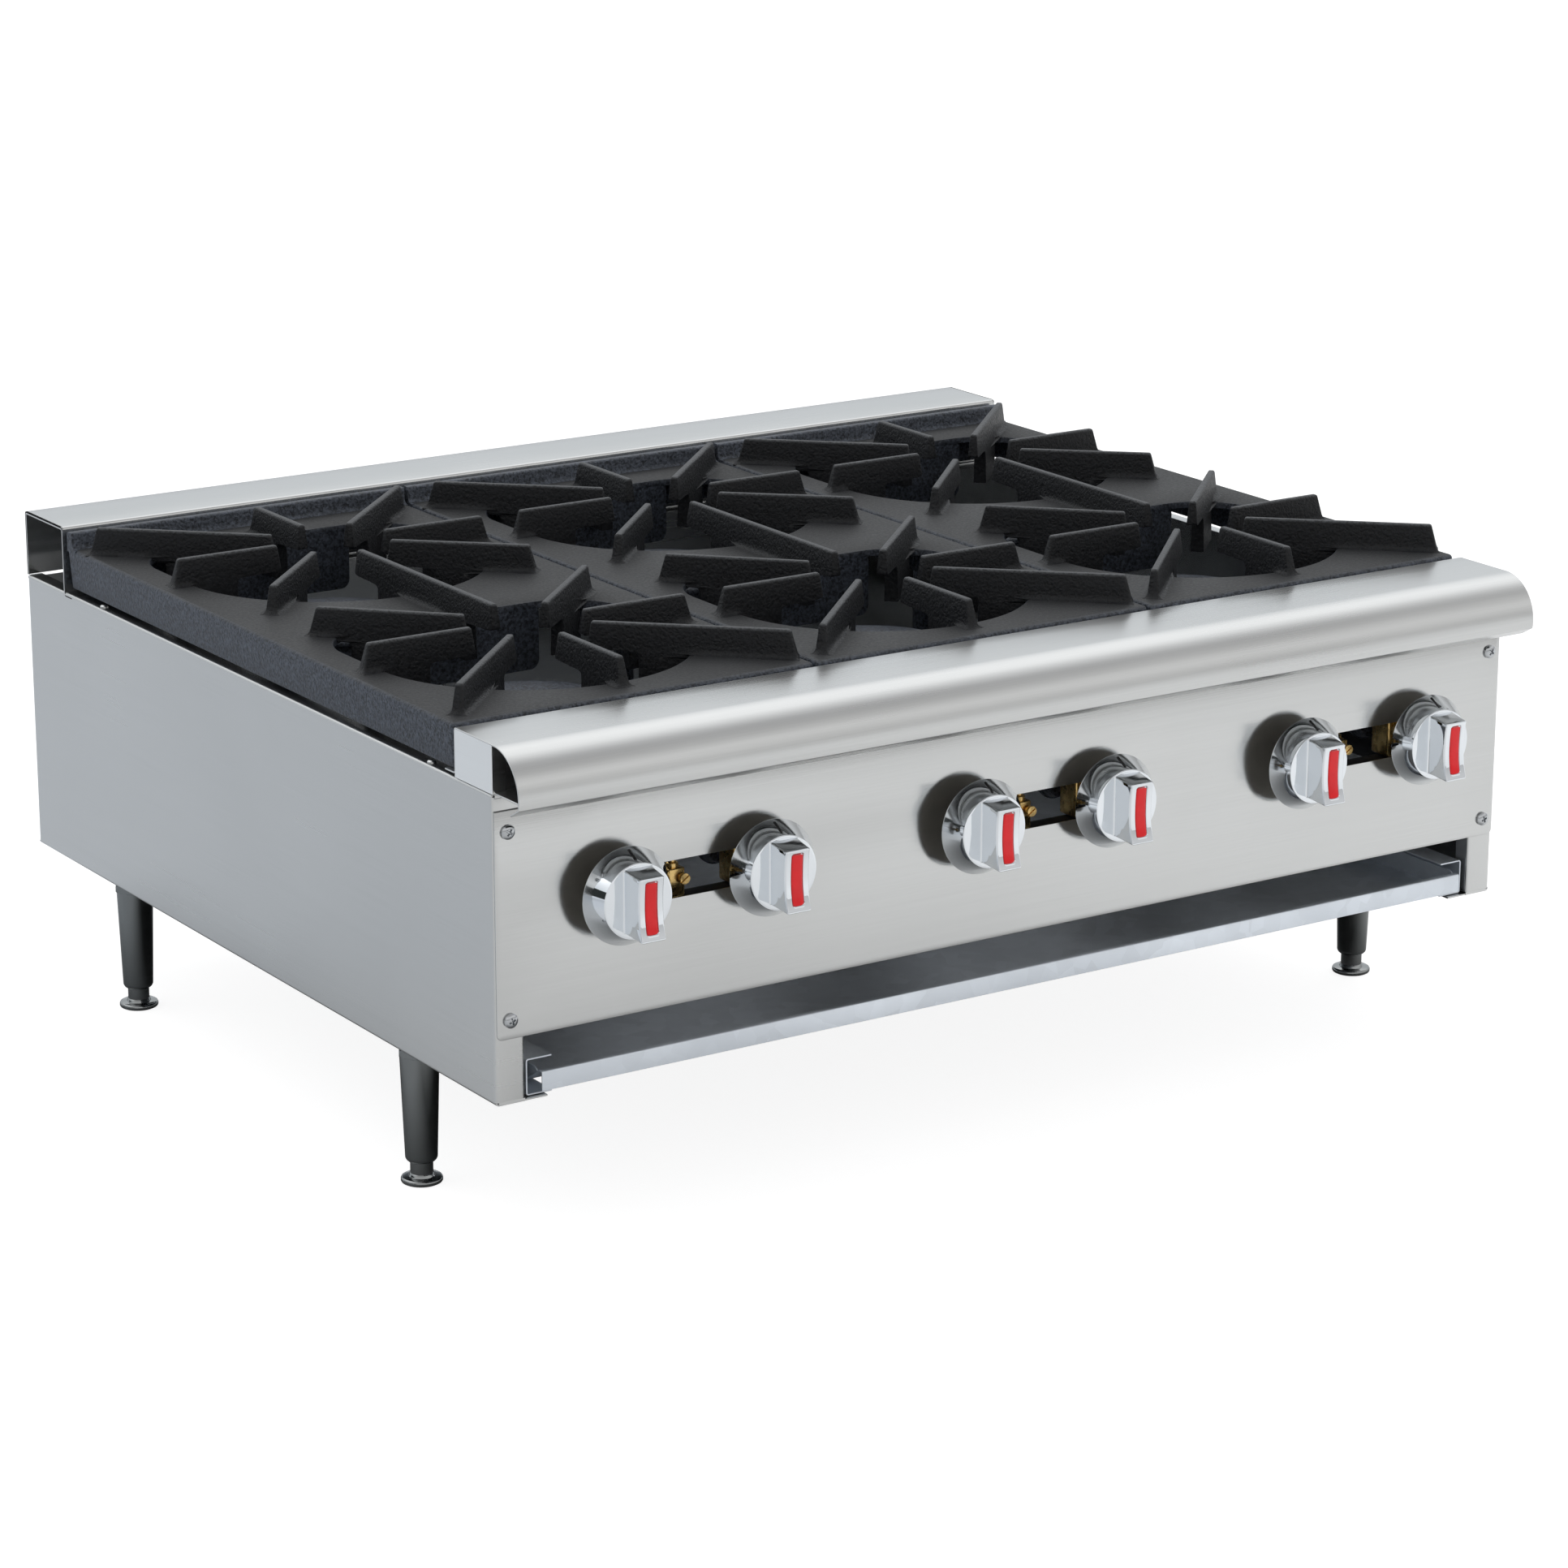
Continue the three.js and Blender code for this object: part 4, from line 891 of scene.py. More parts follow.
class GASRANGE_OT_gas_train(bpy.types.Operator):
    """Adds the manifold, the gas valves and the pilot valves with their tubes"""

    bl_idname = "gas_range.gas_train"
    bl_label = "Gas train"

    def execute(self, context):
        settings = context.scene.gas_range_burner
        dark = shared("dark_steel", dull_metal, tuple(context.scene.gas_range_case.dark_colour))
        brass = shared("machined_brass", machined_brass, tuple(settings.brass_colour))
        tube_metal = shared("pilot_tube_metal", bright_plating, tuple(settings.tube_colour), 0.2)
        low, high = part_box("gas_manifold")
        radius = (high.z - low.z) / 2
        axis_z, front_y, rear_x = (low.z + high.z) / 2, low.y + radius, high.x - radius
        route = np.vstack([
            [(low.x, front_y, axis_z)],
            np.insert(rounded_path(
                [(low.x + 0.02, front_y), (rear_x, front_y), (rear_x, high.y - 0.0006)], 0.03, 9),
                2, axis_z, axis=1),
        ])
        main = pipe(route, radius, 32)
        # Painted shade: a near-black disc in the pipe's open end stands in for the shade inside the
        # bore.
        bore = lathe([
            (0.0001, 0), (0.0096, 0), (0.0100, 0.0003), (0.0100, 0.0004), (0.0001, 0.0004)], 24)
        mouth_shade_disc = moved(bore, (rear_x, high.y - 0.0007, axis_z), (-90, 0, 0))
        cap = prism_turned([
            (0.0165, 0.0168, 0), (0.0178, 0.0168, 0.001), (0.0185, 0.0168, 0.004),
            (0.0185, 0.0168, 0.016), (0.0165, 0.0168, 0.018)], 8)
        add_piece(
            "gas_manifold_pipe", [main, moved(cap, (low.x, front_y, axis_z), (0, 90, 0))], dark,
            "case", ["gas_manifold"], 0.0004)
        black = shared("gas_inlet_dark", dull_metal, (0.006, 0.006, 0.006), 0.0, 0.8)
        add_piece("gas_inlet_mouth", [mouth_shade_disc], black, "case")
        for number in KNOBS:
            low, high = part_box(f"gas_valve_{number}")
            x, z = (low.x + high.x) / 2, high.z - 0.013
            hexagon = prism_turned([
                (0.0095, 0.0092, 0), (0.0104, 0.0092, 0.0008), (0.0104, 0.0092, 0.0062),
                (0.0095, 0.0092, 0.007)], 6)
            bonnet = lathe([(0.009, 0), (0.009, 0.004), (0.0078, 0.0052), (0.0055, 0.0056)], 32)
            nozzle = lathe([
                (0.006, 0), (0.006, 0.006), (0.0045, 0.0075), (0.0045, 0.0135),
                (0.0032, 0.0150), (0.0018, 0.0158)], 32)
            front_y = low.y
            parts = [
                block(
                    (x - 0.011, front_y + 0.012, low.z), (x + 0.011, high.y - 0.016, high.z), 0.002),
                moved(hexagon, (x, front_y + 0.0125, z), (90, 0, 0)),
                moved(bonnet, (x, front_y + 0.0060, z), (90, 0, 0)),
                moved(nozzle, (x, high.y - 0.0163, z), (-90, 0, 0)),
            ]
            add_piece(
                f"gas_valve_{number}_body", parts, brass, "case", [f"gas_valve_{number}"])
        for bay in BAYS:
            low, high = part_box(f"pilot_{bay}")
            x = low.x + 0.007
            seat = low.z
            y = FRONT + 0.023
            block_top = BASE + 0.143
            neck = lathe([
                (0.0046, 0), (0.0046, 0.0035), (0.0030, 0.0045), (0.0030, 0.0060),
                (0.0044, 0.0066), (0.0044, 0.0105)], 32)
            nut = prism_turned([
                (0.0050, 0.0048, 0), (0.0055, 0.0048, 0.0006), (0.0055, 0.0048, 0.0052),
                (0.0050, 0.0048, 0.0058)], 6)
            parts = [
                block((x - 0.007, y - 0.007, seat), (x + 0.007, y + 0.008, block_top), 0.0012),
                moved(neck, (x, y, block_top - 0.0004)),
                moved(nut, (x, y, block_top + 0.0095)),
            ]
            screw_x, screw_y, screw_z = x + 0.004, y - 0.0068, BASE + 0.136
            parts.append(moved(
                lathe([(0.0026, 0), (0.0026, 0.0034)], 24), (screw_x, screw_y, screw_z),
                (90, 0, 0)))
            for turn in (0, 180):
                half = np.linspace(math.radians(12), math.radians(168), 15)
                outline = np.stack([np.cos(half), np.sin(half)], 1) * 0.0040
                outline = np.vstack([outline, [(-0.0039, 0.0006), (0.0039, 0.0006)]])
                head = moved(along(2, outline, 0.0, 0.0022), (0, 0, 0), (0, 0, turn + 35))
                parts.append(moved(head, (screw_x, screw_y - 0.0030, screw_z), (90, 0, 0)))
            parts.append(moved(
                lathe([(0.0038, 0), (0.0040, 0.0010)], 24),
                (screw_x, screw_y - 0.0022, screw_z), (90, 0, 0)))
            add_piece(f"pilot_{bay}_valve", parts, brass, "case", [f"pilot_{bay}"])
            tip_y = high.y - 0.0032
            route = smooth_path([
                (x, y, block_top + 0.012),
                (x, y + 0.004, BASE + 0.166),
                (x + 0.008, FRONT + 0.060, BASE + 0.176),
                (x + 0.030, FRONT + 0.120, BASE + 0.178),
                (x + 0.030, tip_y - 0.070, BASE + 0.178),
                (x + 0.008, tip_y - 0.006, BASE + 0.186),
                (x + 0.004, tip_y, high.z - 0.001),
            ], 70)
            add_piece(
                f"pilot_{bay}_tube", [pipe(route, 0.0030, 16)], tube_metal, "case")
        return {"FINISHED"}


def burner_head(radius, top, ports, port_depth):
    """Round burner: turned profile whose side is cut by flame ports, a cosine round the
    head that is strongest at the port band's middle."""
    under = [(0.004, 0.0420), (0.024, 0.0400), (0.034, 0.0330), (0.055, 0.0250)]
    rim = [
        (0.010, 0.0190), (0.002, 0.0150), (0.0004, 0.0135), (0.0004, 0.0120), (0.0014, 0.0112),
        (0.0014, 0.0090), (0.0014, 0.0068), (0.0014, 0.0056), (0.0, 0.0050), (0.0, 0.0034),
        (0.0014, 0.0016), (0.004, 0.0006), (0.010, 0.0002), (0.022, 0.0002), (0.0245, 0.0012),
        (0.030, 0.0016)]
    crown = [(0.024, 0.0010), (0.020, 0.0), (0.004, 0.0)]
    profile = np.array(under + [(radius - inset, drop) for inset, drop in rim] + crown)
    profile[:, 1] = top - profile[:, 1]
    sides = ports * 8
    angle = np.linspace(0, 2 * math.pi, sides, endpoint=False)
    band = np.exp(-(((profile[:, 1] - (top - 0.0084)) / 0.0022) ** 2))[:, None]
    cut = port_depth * band * np.clip(np.cos(ports * angle) * 3 - 1, 0, 1)
    r = profile[:, :1] - cut
    height = np.broadcast_to(profile[:, 1:], r.shape)
    rings = np.stack([r * np.cos(angle), r * np.sin(angle), height], -1)
    ground = np.repeat(np.where(profile[:, 1] > top - 0.002, 0.15, 0.0), sides)
    return skin(rings, ground=ground, ridge=np.repeat(
        np.where(np.abs(profile[:, 1] - (top - 0.0016)) < 0.0002, 0.3, 0.0), sides))


class GASRANGE_OT_burners(bpy.types.Operator):
    """Adds the six cast burners with their mixer tubes"""

    bl_idname = "gas_range.burners"
    bl_label = "Burners"

    def execute(self, context):
        settings = context.scene.gas_range_burner
        iron = shared("cast_iron", cast_iron, context.scene.gas_range_grate)
        for index, bay in enumerate(BAYS):
            for row, knob in (("front", 2 * index + 1), ("rear", 2 * index + 2)):
                node = f"burner_{row}_{bay}"
                low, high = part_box(node)
                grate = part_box(f"grate_{bay}")
                x = (grate[0].x + grate[1].x) / 2
                top = high.z
                radius = 0.072
                y = BURNER_ROWS[row]
                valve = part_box(f"gas_valve_{knob}")
                valve_x, axis_z = (valve[0].x + valve[1].x) / 2, valve[1].z - 0.013
                mouth = low.y
                reach = y - mouth
                bend = y - min(reach * 0.6, 0.120)
                route = smooth_path([
                    (valve_x, mouth, axis_z),
                    (valve_x, mouth + 0.020, axis_z),
                    (valve_x, bend, axis_z + 0.004),
                    ((valve_x + x) / 2, (bend + y) / 2 - 0.005, axis_z + 0.014),
                    (x, y - 0.012, top - 0.052),
                    (x, y + 0.002, top - 0.034),
                ], 48)
                t = np.linspace(0, 1, 48)
                width = 0.0125 + 0.0035 * np.clip(np.abs(t - 0.12) / 0.12, 0, 1)
                bell = 0.0165 - 0.0015 * np.clip((t - 0.02) / 0.03, 0, 1)
                radii = np.where(t < 0.05, bell, width)
                head = moved(
                    burner_head(radius, top, settings.ports, settings.port_depth), (x, y, 0))
                lug = lathe([(0.0085, BASE + 0.0925), (0.0078, top - 0.014)], 24)
                parts = [head, pipe(route, radii, 28), moved(lug, (x, y + 0.060, 0))]
                # Painted shade: a near-black disc in the mixer's mouth stands in for the shade
                # inside the tube.
                mixer = lathe([(0.0128, 0), (0.0128, 0.0004)], 28)
                add_piece(f"{node}_casting", parts, iron, "case", [node], 0.0, 50)
                black = shared("gas_inlet_dark", dull_metal, (0.006, 0.006, 0.006), 0.0, 0.8)
                mixer = moved(mixer, (valve_x, mouth - 0.0002, axis_z), (-90, 0, 0))
                add_piece(
                    f"{node}_mixer_mouth", [mixer], black, "case")
        return {"FINISHED"}


# Grate proportions, measured from a burner's axis
OPENING_RADIUS = 0.122
OPENING_REAR = 0.114
OPENING_CORNER = 0.055
FINGER_TIP = 0.048
RIB_END = 0.084
APRON_HALF = 0.077
FINGER_HEIGHT = 0.0215


def opening_reach(angle):
    """Distance from the burner's axis to the edge of its opening: a circle at the front and
    sides, and a straight rear edge joined to the sides by round corners."""
    c, s = np.abs(np.cos(angle)), np.sin(angle)
    tiny = 1e-9
    square = np.minimum(OPENING_RADIUS / np.maximum(c, tiny), OPENING_REAR / np.maximum(s, tiny))
    cx, cy = OPENING_RADIUS - OPENING_CORNER, OPENING_REAR - OPENING_CORNER
    along_ray = cx * c + cy * s
    inside = along_ray**2 - (cx**2 + cy**2 - OPENING_CORNER**2)
    round_corner = along_ray + np.sqrt(np.maximum(inside, 0))
    at_corner = (square * c > cx) & (square * s > cy)
    return np.where(s <= 0, OPENING_RADIUS, np.where(at_corner, round_corner, square))


def blade(rows, deck, settings, over_deck, stations=26):
    """A pot finger standing in its own plane: rings that run out along one side, round the
    end, back along the other side and round the other end."""
    run = np.linspace(0, 1, stations)
    quarter = np.linspace(0, math.pi / 2, 4)
    ridge_z = deck + FINGER_HEIGHT
    rings, ridges = [], []
    for inner_u, inner_z, outer_u, outer_z, round_off in rows:
        corner = 0.0015 * round_off
        u = np.concatenate([
            inner_u + corner + run * (outer_u - inner_u - 2 * corner),
            outer_u - corner + corner * np.sin(quarter[1:]),
            outer_u - corner + corner * np.sin(quarter[::-1][1:]),
            outer_u - corner - run[1:] * (outer_u - inner_u - 2 * corner),
            inner_u + corner - corner * np.sin(quarter[1:]),
            inner_u + corner - corner * np.sin(quarter[::-1][1:-1]),
        ])
        side = np.repeat([1, -1, 1], [stations + 3, stations + 5, 2])
        bite = np.concatenate([
            np.zeros(stations), 1 - np.cos(quarter[1:]), 1 - np.cos(quarter[::-1][1:]),
            np.zeros(stations - 1), 1 - np.cos(quarter[1:]), 1 - np.cos(quarter[::-1][1:-1])])
        height = inner_z + (u - inner_u) / (outer_u - inner_u) * (outer_z - inner_z)
        rise = np.clip((height - deck) / FINGER_HEIGHT, -1.3, 1)
        half = settings.root_half + (settings.ridge_half - settings.root_half) * rise
        drop = np.clip(1 - (height - deck) / settings.fillet, 0, 1)
        flare = settings.fillet * (1 - np.sqrt(np.maximum(1 - drop**2, 0)))
        half = (half + flare * over_deck(u)) * round_off
        across = side * (half - corner * bite)
        rings.append(np.stack([u, across, height], 1))
        # The finger's top edge gets the ridge mark and is made lighter: partly rubbing wear, partly
        # a painted highlight.
        ridges.append(np.clip((height - ridge_z + 0.0017) / 0.0012, 0, 1))
    return skin(rings, ridge=np.concatenate(ridges), fin=1.0)


def finger_rows(tip, deck):
    """Ring ends of a finger from its lowest ring up: (inner place, its height, outer place,
    its height, share of the thickness)."""
    heights = deck + np.array([
        -0.029, -0.005, -0.002, -0.0004, 0.0004, 0.0013, 0.0019, 0.0030, 0.0045, 0.0090,
        0.0194, 0.0207, 0.0213, 0.0215])
    inner = [
        RIB_END, RIB_END, RIB_END - 0.0006, RIB_END - 0.0022, RIB_END - 0.0052, FINGER_TIP + 0.0022,
        FINGER_TIP - 0.0012, FINGER_TIP - 0.0022, FINGER_TIP - 0.0021, FINGER_TIP - 0.0015,
        FINGER_TIP - 0.0001, FINGER_TIP + 0.0003, FINGER_TIP + 0.0010, FINGER_TIP + 0.0022]
    outer_heights = deck + np.array([
        -0.029, -0.007, -0.004, -0.0012, -0.0001, 0.0006, 0.0015, 0.0028, 0.0045, 0.0090,
        0.0194, 0.0207, 0.0213, 0.0215])
    below = min(tip + 0.004, 0.134)
    outer = [below, below, below + 0.001]
    outer += [tip + past for past in (
        0.0100, 0.0086, 0.0074, 0.0063, 0.0054, 0.0047, 0.0035, 0.0007, 0.0002, -0.0006, -0.0018)]
    shares = [0.8, 1, 1, 1, 1, 1, 1, 1, 1, 1, 1, 0.90, 0.72, 0.42]
    return list(zip(inner, heights, outer, outer_heights, shares))


def step(value, start, end):
    """0 before start, 1 after end, and a smooth rise between."""
    t = np.clip((value - start) / (end - start), 0, 1)
    return t * t * (3 - 2 * t)


def grate_parts(x, burners, low, high, deck, settings):
    """One grate: a deck with an opening for each burner, a drafted skirt, a raised rear wall,
    a hanging wall behind each opening, and pot fingers."""
    under = deck - settings.deck
    lip = 0.003
    middle = (burners[0] + burners[1]) / 2
    half = (high.x - low.x) / 2
    parts = []
    cells = (
        (burners[0], low.y + lip, middle),
        (burners[1], middle, high.y - lip),
    )
    for y, near, far in cells:
        edges = (near - y, far - y)
        corners = [math.atan2(e, s * (half - lip)) for e in edges for s in (-1, 1)]
        angle = np.linspace(-math.pi, math.pi, 200, endpoint=False)
        angle = np.sort(np.concatenate([angle, corners]))
        c, s = np.cos(angle), np.sin(angle)
        reach_x = (half - lip) / np.maximum(np.abs(c), 1e-9)
        reach_y = np.where(s > 0, edges[1], -edges[0]) / np.maximum(np.abs(s), 1e-9)
        outer = np.minimum(reach_x, reach_y)
        inner = opening_reach(angle)
        levels = (
            (inner + 0.0006, under), (inner, under + 0.0006), (inner, deck - 0.0018),
            (inner + 0.0005, deck - 0.0006), (inner + 0.0018, deck), (outer, deck), (outer, under))
        rings = [np.stack([x + r * c, y + r * s, np.full_like(angle, z)], 1) for r, z in levels]
        top = np.repeat([0, 0, 0.2, 0.5, 1, 1, 0], len(angle))
        parts.append(skin(rings, wrapped=True, ground=top, ridge=np.repeat(
            [0, 0, 0.1, 0.25, 0, 0, 0], len(angle))))
    foot = CASE_TOP + 0.0043
    skirt = (
        (0.0030, deck), (0.0019, deck - 0.0003), (0.0009, deck - 0.0009), (0.0003, deck - 0.0019),
        (0.0000, deck - 0.0030), (0.0022, foot + 0.0008), (0.0030, foot), (0.0075, foot),
        (0.0055, under + 0.001))
    rings = []
    for inset, z in skirt:
        flat = rounded_rectangle(
            x - half + inset, x + half - inset, low.y + inset, high.y - inset,
            max(0.0036 - inset, 0.0008), 5)
        rings.append(np.insert(flat, 2, z, axis=1))
    size = len(rings[0])
    parts.append(skin(
        rings, wrapped=True, ground=np.repeat([1, 0.6, 0.3, 0, 0, 0, 0, 0, 0], size),
        ridge=np.repeat([0, 0.3, 0.4, 0.2, 0, 0, 0, 0, 0], size)))
    wall_top = deck + 0.013
    wall = rounded_path([
        (high.y - 0.0092 - 0.006, deck - 0.0002), (high.y - 0.0092, deck - 0.0002),
        (high.y - 0.0084, wall_top), (high.y - 0.0002, wall_top), (high.y, deck - 0.003)],
        (0.004, 0.0022, 0.0022))
    wall = np.vstack([wall, [(high.y - 0.015, deck - 0.003)]])
    parts.append(along(0, wall, x - half, x + half, ridge=0.12))
    for y in burners:
        face = y + OPENING_REAR + 0.0003
        back = face + 0.0052
        for_depth = ((0.0008, face), (0.0, face + 0.0008), (0.0, back - 0.0008), (0.0008, back))
        rings = []
        for inset, place in for_depth:
            flat = rounded_rectangle(
                x - APRON_HALF + inset, x + APRON_HALF - inset, deck - 0.054 + inset,
                deck - 0.002, 0.008, 5)
            rings.append(np.insert(flat, 1, place, axis=1))
        parts.append(skin(rings, ground=0.0, ridge=0.0))
    front_fingers = (
        (0, 135), (180, 133), (-90, 131), (-135, 188), (-43, 196), (134.6, 161), (44.4, 168))
    rear_fingers = (
        (0, 135), (180, 133), (90, 126), (137, 190), (45, 188), (-134, 159.5), (-42.2, 159))
    for y, fingers in zip(burners, (front_fingers, rear_fingers)):
        for degrees, tip in fingers:
            edge = float(opening_reach(np.array(math.radians(degrees))))
            part = blade(
                finger_rows(tip * MM, deck), deck, settings,
                lambda u, edge=edge: step(u, edge - 0.001, edge + 0.004))
            points, faces, marks = moved(part, (x, y, 0), (0, 0, degrees))
            points[:, 0] = np.clip(points[:, 0], x - half + 0.0004, x + half - 0.0004)
            parts.append((points, faces, marks))
    span = burners[1] - burners[0]
    rows = [
        (inner, z, span - inner, z, share)
        for inner, z, _, _, share in finger_rows(0.2, deck)]
    far_edge = span - OPENING_RADIUS

    def over_deck(u):
        near = step(u, OPENING_REAR - 0.001, OPENING_REAR + 0.004)
        return near * (1 - step(u, far_edge - 0.004, far_edge + 0.001))

    part = blade(rows, deck, settings, over_deck, 40)
    parts.append(moved(part, (x, burners[0], 0), (0, 0, 90)))
    return parts


class GASRANGE_OT_grates(bpy.types.Operator):
    """Adds the three cast-iron grates"""

    bl_idname = "gas_range.grates"
    bl_label = "Grates"

    def execute(self, context):
        settings = context.scene.gas_range_grate
        iron = shared("cast_iron", cast_iron, settings)
        for bay in BAYS:
            low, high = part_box(f"grate_{bay}")
            x = (low.x + high.x) / 2
            burners = tuple(BURNER_ROWS.values())
            deck = high.z - FINGER_HEIGHT
            parts = grate_parts(x, burners, low, high, deck, settings)
            add_piece(
                f"grate_{bay}_casting", parts, iron, f"grate_{bay}_lifting", [f"grate_{bay}"],
                0.0, 42)
        return {"FINISHED"}


# Knob proportions. Lengths along the grip are from the knob's axis, upwards.
HUB_REACH = 0.011
GRIP_HALF = 0.0245
GRIP_LEAN = 0.0034
INLAY_MIDDLE = -0.0006
INLAY_LENGTH_HALF = 0.0184


def grip_front(settings, reach, along_grip):
    """Height of the grip's hollowed front."""
    tilt = along_grip / GRIP_HALF
    return reach - settings.hollow * (1 - tilt**2) - np.where(tilt > 0, 0.0022 * tilt**2, 0.0)


def knob_skirt(radius, disc, depth):
    """Knob skirt facing +Z: a cone between a rolled rim and the disc's round edge."""
    slope = math.atan2(depth - 0.0015, radius - disc)
    rim = [(radius - 0.0018, 0.0), (radius - 0.0004, 0.0), (radius, 0.0004), (radius, 0.0012)]
    shoulder = 0.0009
    edge = [
        (disc + shoulder * math.cos(slope), depth - shoulder * math.sin(slope)),
        (disc + shoulder * 0.3, depth - shoulder * 0.28),
        (disc - shoulder * 0.5, depth - 0.00004),
        (disc - shoulder * 1.4, depth),
    ]
    inside = [
        (0.004, depth - 0.0024), (disc - 0.0016, depth - 0.0024), (radius - 0.0022, 0.0016)]
    return lathe(inside + rim + edge + [(0.004, depth)], 96)


def grip_bar(settings, root, reach):
    """Grip bar: sections across the bar, stacked along its length. Its front is hollowed
    along the bar by a parabola, with a pocket for the inlay; its sides spread a little
    towards the root and end in a small fillet; its upper end leans back and its lower end
    flares forward."""
    half, rim, fillet = settings.bar_half, 0.0011, 0.0012
    ends = np.array([0.0, 0.00015, 0.0005, 0.0011])
    inner = np.linspace(-GRIP_HALF + 0.0018, GRIP_HALF - 0.0018, 61)
    along_bar = np.concatenate([-GRIP_HALF + ends, inner, (GRIP_HALF - ends)[::-1]])
    front = grip_front(settings, reach, along_bar)
    near_end = np.clip(1 - (GRIP_HALF - np.abs(along_bar)) / rim, 0, 1)
    round_end = rim * (1 - np.sqrt(1 - near_end**2))
    at_front = along_bar - GRIP_LEAN * np.clip(along_bar / GRIP_HALF, 0, 1) ** 3
    across = np.linspace(-1, 1, 41) * (half - rim)
    gap = np.hypot(
        np.clip(np.abs(across)[None, :] - (settings.inlay_half - 0.0013), 0, None),
        np.clip(np.abs(at_front - INLAY_MIDDLE)[:, None] - (INLAY_LENGTH_HALF - 0.0010), 0,
                None))
    pocket = 0.0011 * (1 - step(gap, 0.0014, 0.0019))
    face = (front - round_end)[:, None] - pocket
    quarter = np.linspace(0, math.pi / 2, 5)[1:]
    rings = []
    for s, front_s, f, row, r_end in zip(along_bar, at_front, front, face, round_end):
        side_levels = root + np.array([-0.001, 0.0, 0.0002, 0.0006, fillet, 0.006])
        side_levels = np.append(side_levels, f - rim - r_end)
        spread = half + 0.0012 * np.clip((reach - side_levels) / (reach - root), 0, 1)
        drop = np.clip(1 - (side_levels - root) / fillet, 0, 1)
        spread = spread + fillet * (1 - np.sqrt(1 - drop**2)) - r_end
        corner_x = half - rim + rim * np.cos(quarter) - r_end
        corner_z = f - r_end - rim + rim * np.sin(quarter)
        corner_x, corner_z = corner_x[:-1], corner_z[:-1]
        x = np.concatenate([spread, corner_x, across[::-1], -corner_x[::-1], -spread[::-1]])
        z = np.concatenate([
            side_levels, corner_z, row[::-1], corner_z[::-1], side_levels[::-1]])
        forward = np.clip((z - root) / (reach - root), 0, 1)
        share = abs(s / GRIP_HALF) ** 3
        if s > 0:
            place = s + (front_s - s) * forward
        else:
            place = s + 0.0026 * (1 - forward) ** 0.7 * share
        rings.append(np.stack([x, place, z], 1))
    return skin(rings)


def knob_inlay(settings, reach):
    """Inlay that lies in the grip's pocket: sections across it, stacked along its length.
    They narrow at both ends as a quarter circle does, follow the hollow, and are slightly
    crowned."""
    half, corner = settings.inlay_half - 0.0002, 0.0014
    turn = np.linspace(0, math.pi / 2, 5)
    start, end = INLAY_MIDDLE - INLAY_LENGTH_HALF, INLAY_MIDDLE + INLAY_LENGTH_HALF
    place = np.concatenate([
        start + corner * (1 - np.cos(turn)), np.linspace(start + corner, end - corner, 30)[1:-1],
        end - corner + corner * np.sin(turn)])
    narrow = np.concatenate([
        corner * (1 - np.sin(turn)), np.zeros(28), corner * (1 - np.cos(turn))])
    front = grip_front(settings, reach, place) - 0.0004
    inset = np.array([0.0, 0.0, 0.0002, 0.0006])
    lift = np.array([-0.0009, 0.0, 0.0003, 0.00045])
    across = np.linspace(-1, 1, 9)[1:-1]
    rings = []
    for s, taper, height in zip(place, narrow, front):
        edge = half - taper - inset
        x = np.concatenate([-edge, across * edge[-1], edge[::-1]])
        z = height + np.concatenate([lift, 0.0006 - 0.00015 * across**2, lift[::-1]])
        rings.append(np.stack([x, np.full_like(x, s), z], 1))
    return skin(rings)


def skirt_dash(radius, disc, depth):
    """Dash painted down the skirt at its top: a thin patch that follows the cone."""
    across = np.linspace(-0.0010, 0.0010, 5)
    r = np.linspace(disc + 0.0016, radius - 0.0012, 9)
    lift = 0.00012
    cone = 0.0015 + (radius - r) / (radius - disc) * (depth - 0.0015)
    rings = []
    for radial, height in zip(r, cone):
        y = np.sqrt(radial**2 - across**2)
        upper = np.stack([across, y, np.full(5, height + lift)], 1)
        lower = np.stack([across, y, np.full(5, height - 0.0002)], 1)
        rings.append(np.vstack([upper, lower[::-1]]))
    return skin(rings)


